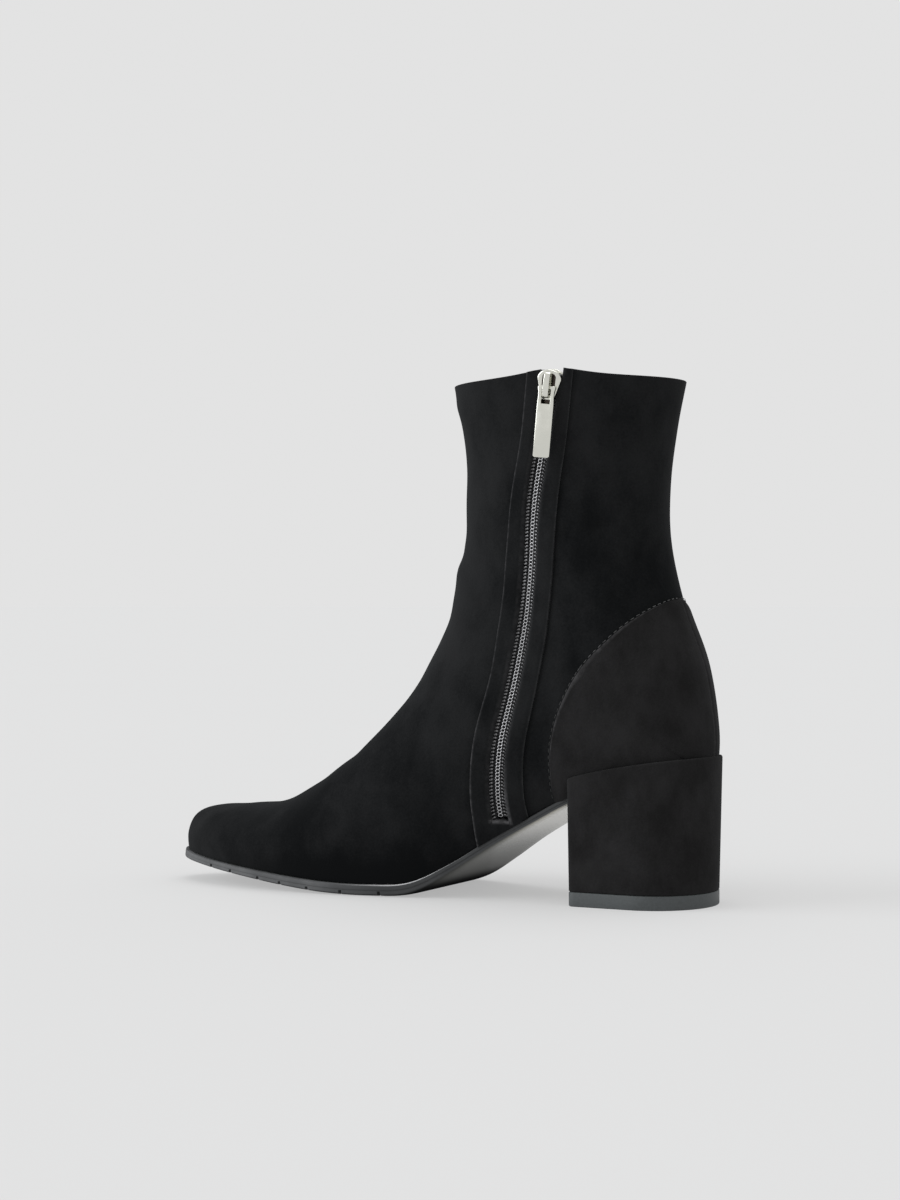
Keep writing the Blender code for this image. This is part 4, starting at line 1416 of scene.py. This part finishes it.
def counter_reach(count):
    """Rows of the counter, and the turn at which each of them meets the counter's edge."""
    edge = traced(COUNTER_EDGE, 300)
    climb = np.linspace(0, 0.75, 1500)

    def past_edge(x, z):
        return np.argmax(x >= np.interp(z, edge[:, 1], edge[:, 0]))

    first = float(row_where_sole_is(edge[0, 0])) + 0.01
    seam_rows = np.linspace(SEAT_ROW, LAST_ROW, 400)
    seam = follow(SECTIONS, seam_rows)
    rows = np.linspace(first, seam_rows[past_edge(seam[:, 0], seam[:, 1])], count + 1)
    reach = np.array([climb[past_edge(*on_line(sections_at(row), climb))] for row in rows])
    # The first and last rows keep a little width, so that the edge doesn't end in a point.
    reach[0] = max(reach[0], 0.002)
    reach[-1] = max(reach[-1], 0.0002)
    return rows, turn_of(rows, reach)


class BOOT_OT_counter(bpy.types.Operator):
    """Wrap the stitched counter round the heel"""

    bl_idname = "boot.counter"
    bl_label = "Counter"

    ROWS = 90
    COLUMNS = 44
    CROWDING = 1.5
    SKIVE = 7.0
    BACKING = 0.5
    EDGE_PALE = 0.42
    SEAM_DEPTH = 0.45
    SEAM_WIDTH = 0.55
    SEAM_ROWS = (SEAT_ROW - 0.1, SEAT_ROW + 0.4)
    SEAM_PALE = 0.18

    def execute(self, context):
        sizes = context.scene.boot_sizes
        rows, reach = counter_reach(self.ROWS)
        share = np.linspace(0, 1, self.COLUMNS + 1) ** self.CROWDING
        share = 0.5 * share + 0.5 * (1 - (1 - share) ** self.CROWDING)
        halves = [self.half(rows, reach[:, None] * share, side, sizes) for side in (INNER, OUTER)]
        piece = join("heel_counter_suede", halves)
        weld(piece)
        thicken(piece, sizes.counter_edge + self.BACKING * MM, even=False)
        finish_piece(piece, heel_suede, "suede", "boot", "heel_counter", angle=FOLD_ANGLE)
        return {"FINISHED"}

    def half(self, rows, turn, side, sizes):
        """One side of the counter, from the back seam to its skived edge."""
        face = smooth_skin(rows[:, None], turn, side)
        from_edge = np.linalg.norm(face - face[:, -1:], axis=-1)
        rise = smooth_step(0, self.SKIVE, from_edge)
        out = mix(mm(sizes.counter_edge), mm(sizes.counter_rise), rise)
        seam = bell(face[..., 1], self.SEAM_WIDTH) * smooth_step(*self.SEAM_ROWS, rows)[:, None]
        points = skin(rows[:, None], turn, side, out - self.SEAM_DEPTH * seam)
        pale = self.SEAM_PALE * seam
        # The skived edge is pale: raw suede with a painted highlight along it
        pale[:, -1] = np.maximum(pale[:, -1], self.EDGE_PALE)
        half = sheet("counter_half", points[:, ::-side])
        mark(half, "pale_edge", pale[:, ::-side])
        return half


class BOOT_OT_sole(bpy.types.Operator):
    """Mould the outsole with its lip, toe spring, waist and tread"""

    bl_idname = "boot.sole"
    bl_label = "Outsole"

    ROWS_PER_SECTION = 8
    UNDERSIDE_LEVELS = (0.72, 0.90)
    LIP_LEVEL = 0.06

    def execute(self, context):
        breast = HEEL_RIM.front + SOLE_GAP
        last = float(row_where_sole_is(breast))
        rings = self.rings(np.linspace(0, last, int(self.ROWS_PER_SECTION * last) + 1))
        rings[-1, :, 0] = breast
        level = np.array(SOLE_PROFILE)[:, 1]
        below = np.broadcast_to(smooth_step(*self.UNDERSIDE_LEVELS, level), rings.shape[:2])
        # Painted highlight along the top of the lip at the ball
        lip_highlight = bell(rings[..., 0] - LIP_SHINE_X, LIP_SHINE_SPREAD) * (level < self.LIP_LEVEL)
        piece = loft("outsole_rubber", rings, underside=below, lip=lip_highlight)
        underside = rings[:, len(SOLE_EDGE) - 1]
        for x in TREAD_GROOVES_X:
            z = np.interp(-x, -underside[:, 0], underside[:, 2])
            cut(piece, self.groove(x, z))
        finish_piece(piece, moulded_rubber, "sole_rubber", "boot", "outsole", angle=HARD_ANGLE)
        return {"FINISHED"}

    def rings(self, rows):
        section = sections_at(rows)
        x = section.back_x
        fore = smooth_step(WAIST_END_X, FOREPART_START_X, x)
        thickness = mix(WAIST_THICKNESS, FOREPART_THICKNESS, fore)
        thickness = thickness - (FOREPART_THICKNESS - TOE_THICKNESS) * smooth_step(BALL_X, TOE_X, x)
        inner, outer = plan_outline(rows, mix(WAIST_MARGIN, FORE_MARGIN, fore))
        slope = unit(np.column_stack([np.gradient(x), np.gradient(section.back_z)]))
        down = np.column_stack([-slope[:, 1], np.zeros(len(rows)), slope[:, 0]])
        rings = []
        for across, level in SOLE_PROFILE:
            plan = mix(outer, inner, (across + 1) / 2)
            top = np.column_stack([plan, section.back_z - SOLE_GAP])
            rings.append(top + down * (thickness * level)[:, None])
        rings = np.stack(rings, axis=1)
        rings[..., 2] = np.maximum(rings[..., 2], 0.0)
        return rings

    def groove(self, x, z):
        """A cutter across the sole, narrower at its floor and bent towards the toe in the middle."""
        cutter = add("tread_groove", bpy.ops.mesh.primitive_cube_add, size=1)
        with editing(cutter):
            bpy.ops.mesh.subdivide(number_cuts=1)
        for vertex in cutter.data.vertices:
            along, across, up = vertex.co
            bend = TREAD_GROOVE_BEND * (1 - TREAD_GROOVE_SWEEP * abs(across))
            width = TREAD_GROOVE_WIDTH * (TREAD_GROOVE_WAIST - TREAD_GROOVE_FLARE * up)
            place = (x + bend + width * along, TREAD_GROOVE_LENGTH * across, z + 2 * TREAD_GROOVE_DEPTH * up)
            vertex.co = to_world(place)
        return cutter


def heel_outline(share, inset=0.0):
    """Outline of the heel at a share of its height: straight breast, rounded corners and a round back."""
    half_width, back, front = (mix(low, high, share) for low, high in zip(HEEL_FOOT, HEEL_RIM))
    half_width -= inset
    back += inset
    front -= inset
    corner = max(HEEL_CORNER - inset, HEEL_LEAST_CORNER)
    turn = np.linspace(-math.pi / 2, math.pi / 2, HEEL_ROUND_POINTS)
    points = [(HEEL_ROUND_X - (HEEL_ROUND_X - back) * math.cos(a), -half_width * math.sin(a)) for a in turn]
    x = front - corner
    y = half_width - corner
    straight = np.linspace(HEEL_ROUND_X, x, HEEL_SIDE_POINTS)[1:-1]
    points += [(place, -half_width) for place in straight]
    turn = np.linspace(0, math.pi / 2, HEEL_CORNER_POINTS)
    points += [(x + corner * math.sin(a), -y - corner * math.cos(a)) for a in turn]
    points += [(front, place) for place in np.linspace(-y, y, HEEL_BREAST_POINTS)[1:-1]]
    points += [(x + corner * math.cos(a), y + corner * math.sin(a)) for a in turn]
    points += [(place, half_width) for place in straight[::-1]]
    return np.array(points)


class BOOT_OT_heel(bpy.types.Operator):
    """Cover the block heel with suede, and put the rubber top piece under it"""

    bl_idname = "boot.heel"
    bl_label = "Heel"

    LEVELS = 14
    RIM_STEPS = 5
    FOOT_EDGE = 0.35
    ABOVE_TOP_PIECE = 0.1
    TOP_PIECE_EDGE = 0.5
    SEAT_OVERLAP = 0.15
    SEAT_ROWS = np.linspace(SEAT_ROW - 6, SEAT_ROW + 3, 19)
    SEAT_STEPS = 7

    def execute(self, context):
        block = self.block(mm(context.scene.boot_sizes.counter_rise))
        finish_piece(block, heel_suede, "suede", "boot", "heel_block", angle=HARD_ANGLE)
        place = Matrix.Translation(Vector(HEEL_BACK))
        outline = heel_outline(0.0)
        top_piece = plate("heel_top_rubber", outline, 0.0, TOP_PIECE_THICKNESS, place, self.TOP_PIECE_EDGE)
        finish_piece(top_piece, heel_rubber, "top_piece_rubber", "boot", "heel_top_piece", angle=HARD_ANGLE)
        return {"FINISHED"}

    def block(self, counter_rise):
        along = heel_outline(1.0)[:, 0] / HEEL_RIM.front
        rim = mix(HEEL_RIM_BACK_Z, HEEL_RIM_FRONT_Z, along) + 4 * HEEL_RIM_BOW * along * (1 - along)
        low = TOP_PIECE_THICKNESS + self.ABOVE_TOP_PIECE
        levels = [(0.0, self.FOOT_EDGE, np.full(len(rim), low))]
        for share in np.linspace(0, 1, self.LEVELS):
            levels.append((share, 0.0, mix(low + self.FOOT_EDGE, rim - HEEL_RIM_ROUND, share)))
        for turn in np.linspace(0, math.pi / 2, self.RIM_STEPS + 1)[1:]:
            inset = HEEL_RIM_ROUND * (1 - math.cos(turn))
            levels.append((1.0, inset, rim - HEEL_RIM_ROUND + HEEL_RIM_ROUND * math.sin(turn)))
        rings = [np.column_stack([heel_outline(share, inset), height]) for share, inset, height in levels]
        block = loft("heel_block_suede", rings)
        cut(block, self.seat(counter_rise - self.SEAT_OVERLAP))
        return block

    def seat(self, out):
        """The lasted heel with its counter, which the heel's cup takes."""
        ends = [0, -1]
        points = arch_grid(self.SEAT_ROWS, self.SEAT_STEPS, self.SEAT_STEPS, out)
        feather = arch_grid(self.SEAT_ROWS, self.SEAT_STEPS, self.SEAT_STEPS, 0.0)[:, ends]
        points[:, ends, 0] = np.minimum(points[:, ends, 0], feather[..., 0])
        points[:, ends, 2] = feather[..., 2] - SEAT_DROP
        return loft("heel_seat", points)


class BOOT_OT_zip(bpy.types.Operator):
    """Weave the zip's tapes and wind its two coil rows"""

    bl_idname = "boot.zip"
    bl_label = "Zip"

    START = 2.6
    TAPE_ROWS = 120
    TAPE_COLUMNS = 9
    TAPE_END = 1.0
    TAPE_NEAR = 0.2
    TAPE_HALF_WIDTH = 6.8
    TAPE_OUT = -1.85
    TAPE_THICKNESS = 0.55
    COIL_END = 0.8
    COIL_OUT = -0.35
    WIRE_SIDES = 6
    # The part of one turn that shows beside the middle: across and along as shares of the half width and the
    # pitch, height, and thickness as a share of the wire's.
    TURN = (
        (0.95, 0.00, -0.95, 1.0),
        (1.00, 0.04, -0.40, 1.2),
        (0.97, 0.12, 0.00, 1.3),
        (0.87, 0.22, 0.12, 1.25),
        (0.78, 0.30, -0.10, 0.95),
        (0.69, 0.38, 0.10, 1.25),
        (0.59, 0.47, 0.00, 1.25),
        (0.53, 0.53, -0.40, 1.0),
        (0.50, 0.57, -0.95, 0.9),
    )
    # The heads of the turns, which hook together in the middle, and the painted shade on their flanks
    HEAD_PLACE = (0.35, 0.53, 0.30)
    HEAD_RADIUS = 0.82
    HEAD_WIRE = 0.18
    HEAD_LENGTH = 0.82
    HEAD_DYE = 1.2

    def execute(self, context):
        sizes = context.scene.boot_sizes
        for side, end in ((1, "front"), (-1, "rear")):
            tape = self.tape(f"tape_{end}", side)
            finish_piece(tape, zip_tape_weave, "zip_tape", "boot", f"zip_tape_{end}")
            coil = self.coil(f"coil_{end}", side, sizes)
            finish_piece(coil, coil_wire, "zip_coil", "boot", f"zip_teeth_{end}")
        return {"FINISHED"}

    def tape(self, name, side):
        distance = np.linspace(self.START, ZIP.length - self.TAPE_END, self.TAPE_ROWS)[:, None]
        near = self.TAPE_NEAR + zip_opening(distance)
        across = side * mix(near, self.TAPE_HALF_WIDTH, np.linspace(0, 1, self.TAPE_COLUMNS))
        piece = sheet(name, ZIP.on_skin(distance, across, self.TAPE_OUT)[:, ::-side])
        thicken(piece, self.TAPE_THICKNESS * MM)
        return piece

    def coil(self, name, side, sizes):
        """The turns of one row. The rear row carries the heads for both."""
        pitch = mm(sizes.coil_pitch)
        offset = 0.5 * pitch if side < 0 else 0.0
        distance = np.arange(self.START + offset, ZIP.length - self.COIL_END, pitch)
        point, sideways, up, out = ZIP.frames(distance, 0.0, self.COIL_OUT)
        frames = (point - (side * zip_opening(distance))[:, None] * sideways, sideways, up, out)
        turn = self.turn(mm(sizes.coil_half_width), mm(sizes.coil_wire), pitch, side)
        pieces = [repeat("coil_turns", turn, frames)]
        # Painted shade on all the turns
        mark(pieces[0], "dyed", np.ones(len(pieces[0].data.vertices)))
        if side < 0:
            head = self.head(pitch)
            height = np.array([vertex.co.z for vertex in head.data.vertices]) / MM - self.HEAD_PLACE[2]
            pieces.append(repeat("coil_heads", head, frames))
            # Painted shade on the heads' flanks, fading to their bright tops
            flank = self.HEAD_DYE * (1 - smooth_step(0.0, self.HEAD_WIRE, height))
            mark(pieces[1], "dyed", np.tile(flank, len(distance)))
        return join(name, pieces)

    def head(self, pitch):
        """The loop at a turn's end."""
        head = add(
            "coil_head",
            bpy.ops.mesh.primitive_torus_add,
            major_radius=self.HEAD_RADIUS * MM,
            minor_radius=self.HEAD_WIRE * MM,
            major_segments=14,
            minor_segments=8,
        )
        with editing(head):
            bpy.ops.transform.resize(value=(1.0, self.HEAD_LENGTH, 1.0))
        x, along, out = self.HEAD_PLACE
        head.data.transform(Matrix.Translation(Vector((x, along * pitch, out)) * MM))
        return head

    def turn(self, half_width, radius, pitch, side):
        """One turn of the wire, from the tape's edge over to the middle."""
        turn = np.array(self.TURN)
        path = turn[:, :3] * (-side * half_width, pitch, 1.0)
        run = unit(np.gradient(path, axis=0))
        level = unit(np.cross(run, (0.0, 1.0, 0.0)))
        rise = np.cross(level, run)
        angle = np.linspace(0, 2 * math.pi, self.WIRE_SIDES + 1)[:-1]
        ring = np.cos(angle)[:, None, None] * level + np.sin(angle)[:, None, None] * rise
        piece = loft("coil_turn", (path + radius * turn[:, 3:] * ring).transpose(1, 0, 2))
        piece.data.transform(Matrix.Translation(-Vector(HEEL_BACK)))
        return piece


def slider_frame():
    point, sideways, up, out = ZIP.frames(np.array([SLIDER_DISTANCE]))
    matrix = Matrix((sideways[0], up[0], out[0])).transposed().to_4x4()
    matrix.translation = Vector(to_world(point[0]))
    return matrix


def tab_frame():
    """The tab hangs plumb from its bar, with a little of the slider's lean."""
    hinge = slider_frame() @ Matrix.Translation((0, HINGE_UP * MM, HINGE_OUT * MM))
    across = hinge.to_3x3().col[0]
    across.z *= TAB_LEAN
    across.normalize()
    plumb = Vector((0, 0, 1)) - across * across.z
    plumb.normalize()
    matrix = Matrix((across, plumb, across.cross(plumb))).transposed().to_4x4()
    matrix.translation = hinge.translation
    return matrix


class BOOT_OT_slider(bpy.types.Operator):
    """Cast the zip's slider: two plates, a neck and the bridge"""

    bl_idname = "boot.slider"
    bl_label = "Slider"

    END_POINTS = 25
    FRONT_EDGE = 0.42
    BACK_EDGE = 0.3
    NECK = (1.0, 2.2, 4.2)
    NECK_SET_IN = 0.6
    TAIL = (2.2, -8.8, -6.0)
    TAIL_THICKNESS = 0.5
    POCKET_FROM_BRIDGE = (-0.1, 1.5)
    POCKET_DEPTH = 0.15
    POCKET_PROUD = 0.03
    BRIDGE_POINTS = 45
    BRIDGE_SOFTNESS = 0.3
    BRIDGE_CORNERS = ((1, 1, 0), (-1, 1, 90), (-1, -1, 180), (1, -1, 270))

    def execute(self, context):
        matrix = slider_frame()
        outline = self.outline()
        front, back = SLIDER_FRONT, SLIDER_BACK
        neck = rectangle(*self.NECK)
        tail = rectangle(*self.TAIL)
        pieces = [
            plate("slider_front", outline, front, front + SLIDER_PLATE, matrix, self.FRONT_EDGE),
            plate("slider_back", outline, back - SLIDER_PLATE, back, matrix, self.BACK_EDGE),
            plate("slider_neck", neck, back - self.NECK_SET_IN, front + self.NECK_SET_IN, matrix),
            self.bridge(matrix),
            # A dark plate under the tail: painted shade, seen through the tab's eye
            self.dark(plate("slider_tail", tail, front, front + self.TAIL_THICKNESS, matrix)),
            *(self.pocket(matrix, side) for side in (1, -1)),
        ]
        piece = join("slider_nickel", pieces)
        finish_piece(piece, polished_nickel, "nickel", "boot", "zip_slider", angle=HARD_ANGLE)
        return {"FINISHED"}

    def dark(self, piece):
        # Marks the piece for painted shade
        mark(piece, "tarnish", np.ones(len(piece.data.vertices)))
        return piece

    def outline(self):
        """Egg-shaped plate, broad at its top and narrow at its tail."""
        ends = (
            (0.0, SLIDER_HALF_WIDTH, SLIDER_SHOULDER, SLIDER_TOP - SLIDER_SHOULDER),
            (math.pi, SLIDER_TAIL_HALF_WIDTH, SLIDER_TAIL_ROUND, SLIDER_BOTTOM + SLIDER_TAIL_ROUND),
        )
        points = []
        for start, half_width, height, level in ends:
            turn = np.linspace(start, start + math.pi, self.END_POINTS)
            points += [(half_width * math.cos(a), level + height * math.sin(a)) for a in turn]
        return points

    def pocket(self, matrix, side):
        """A dark plate beside the bridge: painted shade and dark reflection in the hollow there."""
        near, far = (BRIDGE_WIDTH / 2 + gap for gap in self.POCKET_FROM_BRIDGE)
        outline = [(near, -4.6), (far - 0.5, -4.6), (far, -3.6), (far, 2.4), (far - 0.6, 3.3), (near, 3.6)]
        outline = [(side * x, y) for x, y in outline[::side]]
        top = SLIDER_FRONT + SLIDER_PLATE
        low, high = top - self.POCKET_DEPTH, top + self.POCKET_PROUD
        return self.dark(plate("slider_pocket", outline, low, high, matrix))

    def bridge(self, matrix):
        """A flat bar bent over the plate, with softened edges."""
        path = traced(BRIDGE_PATH, self.BRIDGE_POINTS)
        run = unit(np.gradient(path, axis=0))
        soft = self.BRIDGE_SOFTNESS
        section = []
        for corner_x, corner_n, start in self.BRIDGE_CORNERS:
            for angle in np.radians(np.linspace(start, start + 90, 4)):
                across = corner_x * (BRIDGE_WIDTH / 2 - soft) + soft * math.cos(angle)
                above = corner_n * (BRIDGE_THICKNESS / 2 - soft) + soft * math.sin(angle)
                section.append((across, above - BRIDGE_THICKNESS / 2))
        rings = []
        for (up, out), (rise, lift) in zip(path, -run):
            rings.append([(across, up - above * lift, out + above * rise) for across, above in section])
        piece = loft("slider_bridge", rings)
        piece.data.transform(matrix @ Matrix.Translation(-Vector(HEEL_BACK)))
        return piece


class BOOT_OT_pull_tab(bpy.types.Operator):
    """Stamp the slider's pull tab with its eye"""

    bl_idname = "boot.pull_tab"
    bl_label = "Pull tab"

    EDGE = 0.26
    EDGE_ANGLE = math.radians(50)

    def execute(self, context):
        flat = Matrix.Identity(4)
        half = TAB_THICKNESS / 2
        outline = list(TAB_OUTLINE) + [(-x, y) for x, y in TAB_OUTLINE[::-1]]
        piece = plate("pull_tab_nickel", outline, -half, half, flat)
        eye = rectangle(TAB_EYE_HALF_WIDTH, TAB_EYE_BOTTOM, TAB_EYE_TOP)
        cut(piece, plate("tab_eye", eye, -TAB_THICKNESS, TAB_THICKNESS, flat))
        edges = {"limit_method": "ANGLE", "angle_limit": self.EDGE_ANGLE}
        modify(piece, "BEVEL", width=self.EDGE * MM, segments=EDGE_SEGMENTS, **edges)
        piece.data.transform(tab_frame())
        finish_piece(piece, polished_nickel, "nickel", "pull_tab", "zip_pull_tab", angle=HARD_ANGLE)
        return {"FINISHED"}


class BOOT_OT_stitches(bpy.types.Operator):
    """Sew the counter and the zip facings with lines of single stitches"""

    bl_idname = "boot.stitches"
    bl_label = "Stitches"

    COUNTER_ROWS = 400
    FACING_ROWS = 600
    FACING_START = 2.0
    FACING_END = WINDOW_END + 3.0
    SEAM_END = 1.0
    AHEAD = 0.8
    FLATNESS = 0.9

    def execute(self, context):
        sizes = context.scene.boot_sizes
        margin = mm(sizes.stitch_margin)
        rows, reach = counter_reach(self.COUNTER_ROWS)
        for side, name in ((INNER, "inner"), (OUTER, "outer")):
            edge = skin(rows, reach, side)
            run = unit(np.gradient(edge, axis=0))
            seam = edge - side * margin * np.cross(run, skin_normal(rows, reach, side))
            self.sew(f"counter_stitches_{name}", seam[:, 0], seam[:, 2], side, sizes.counter_edge, sizes)
        distance = np.linspace(self.FACING_START, self.FACING_END, self.FACING_ROWS)
        toe, heel = facing_reach(distance)
        for across, end in ((toe - margin, "front"), (margin - heel, "rear")):
            seam = ZIP.side_view(distance, across)
            self.sew(f"facing_stitches_{end}", *seam, INNER, sizes.facing_rise, sizes)
        return {"FINISHED"}

    def sew(self, name, x, z, side, rise, sizes):
        """Lays stitches of one length along a seam of the side view, each a little proud of the suede."""
        at, turn = locate(x, z, side)
        line = skin(at, turn, side, mm(rise))
        along = distances(line)
        places = np.arange(mm(sizes.stitch_pitch), along[-1] - self.SEAM_END, mm(sizes.stitch_pitch))
        point = read_line(places, along, line)
        run = unit(read_line(places + self.AHEAD, along, line) - point)
        out = unit(read_line(places, along, skin_normal(at, turn, side)))
        sideways = unit(np.cross(run, out))
        piece = repeat(name, self.stitch(sizes), (point, sideways, run, np.cross(sideways, run)))
        finish_piece(piece, sewing_thread, "suede", "boot", angle=SOFT_ANGLE)

    def stitch(self, sizes):
        """A short thread that dips into the suede at both ends."""
        ball = {"segments": 8, "ring_count": 6, "radius": sizes.stitch_radius}
        stitch = add("stitch", bpy.ops.mesh.primitive_uv_sphere_add, **ball)
        stretch = sizes.stitch_length / (2 * sizes.stitch_radius)
        with editing(stitch):
            bpy.ops.transform.resize(value=(1.0, stretch, self.FLATNESS))
        return stitch


class BOOT_OT_stage(bpy.types.Operator):
    """Set the boot on a pale paper floor, with soft light and the camera"""

    bl_idname = "boot.stage"
    bl_label = "Stage"

    FLOOR_RADIUS = 40.0
    FRAME_HEIGHT = 36.0
    CLIP_START = 0.01
    # Where a light comes from, how many degrees it spreads over, and its tint
    KEY = ((0.80, 0.55, 0.35), 50.0, (0.95, 0.98, 1.0))
    OVERHEAD = ((-0.05, -0.10, 1.0), 40.0, (1.0, 1.0, 1.0))

    def execute(self, context):
        stage = context.scene.boot_stage
        self.floor()
        self.sky(context.scene, stage)
        self.soft_light("key_light", stage.key, *self.KEY)
        self.soft_light("overhead_light", stage.overhead, *self.OVERHEAD)
        self.camera(context.scene, stage)
        context.scene.view_settings.view_transform = "Standard"
        return {"FINISHED"}

    def floor(self):
        disc = {"vertices": 96, "radius": self.FLOOR_RADIUS, "fill_type": "TRIFAN"}
        floor = add("studio_floor", bpy.ops.mesh.primitive_circle_add, **disc)
        floor.data.materials.append(material_of(studio_paper))

    def sky(self, scene, stage):
        """Even light from all round."""
        scene.world = bpy.data.worlds.new("studio")
        scene.world.use_nodes = True
        nodes = Nodes(scene.world.node_tree)
        background = nodes.tree.nodes["Background"]
        nodes.feed(background.inputs["Color"], WHITE)
        nodes.feed(background.inputs["Strength"], stage.around)

    def soft_light(self, name, strength, source, spread, tint):
        """A far, broad light that comes from one direction, so that it falls evenly on the whole floor."""
        bpy.ops.object.light_add(type="SUN", location=source)
        light = bpy.context.object
        light.name = name
        light.data.angle = math.radians(spread)
        light.data.energy = strength
        light.data.color = tint
        light.rotation_euler = (-Vector(source)).to_track_quat("-Z", "Y").to_euler()

    def camera(self, scene, stage):
        away = Vector((-math.sin(stage.azimuth), math.cos(stage.azimuth), 0.0))
        aim = Vector((HEEL_BACK[0] + stage.aim_x, HEEL_BACK[1], stage.height))
        bpy.ops.object.camera_add(location=aim + stage.distance * away)
        camera = bpy.context.object
        camera.rotation_euler = (-away).to_track_quat("-Z", "Y").to_euler()
        camera.data.sensor_width = self.FRAME_HEIGHT
        camera.data.lens = stage.lens
        camera.data.clip_start = self.CLIP_START
        scene.camera = camera


class BOOT_PT_panel(bpy.types.Panel):
    """Sizes, colours and pieces of the boot"""

    bl_label = "Suede Ankle Boot"
    bl_idname = "BOOT_PT_panel"
    bl_space_type = "VIEW_3D"
    bl_region_type = "UI"
    bl_category = "Boot"

    def draw(self, context):
        for name in GROUPS:
            group = getattr(context.scene, name)
            column = self.layout.box().column(align=True)
            for label in group.__annotations__:
                column.prop(group, label)
        for operator in PIECES:
            self.layout.operator(operator.bl_idname)


PIECES = (
    BOOT_OT_stage,
    BOOT_OT_upper,
    BOOT_OT_lining,
    BOOT_OT_facings,
    BOOT_OT_counter,
    BOOT_OT_sole,
    BOOT_OT_heel,
    BOOT_OT_zip,
    BOOT_OT_slider,
    BOOT_OT_pull_tab,
    BOOT_OT_stitches,
)
GROUPS = {"boot_sizes": BootSizes, "boot_colours": BootColours, "boot_stage": BootStage}
CLASSES = (*GROUPS.values(), *PIECES, BOOT_PT_panel)


def register():
    for cls in CLASSES:
        bpy.utils.register_class(cls)
    for name, group in GROUPS.items():
        setattr(bpy.types.Scene, name, PointerProperty(type=group))


def unregister():
    for name in GROUPS:
        delattr(bpy.types.Scene, name)
    for cls in reversed(CLASSES):
        bpy.utils.unregister_class(cls)


def main():
    register()
    bpy.ops.boot.stage()
    bpy.ops.boot.upper()
    bpy.ops.boot.lining()
    bpy.ops.boot.facings()
    bpy.ops.boot.counter()
    bpy.ops.boot.sole()
    bpy.ops.boot.heel()
    bpy.ops.boot.zip()
    bpy.ops.boot.slider()
    bpy.ops.boot.pull_tab()
    bpy.ops.boot.stitches()


if __name__ == "__main__":
    main()
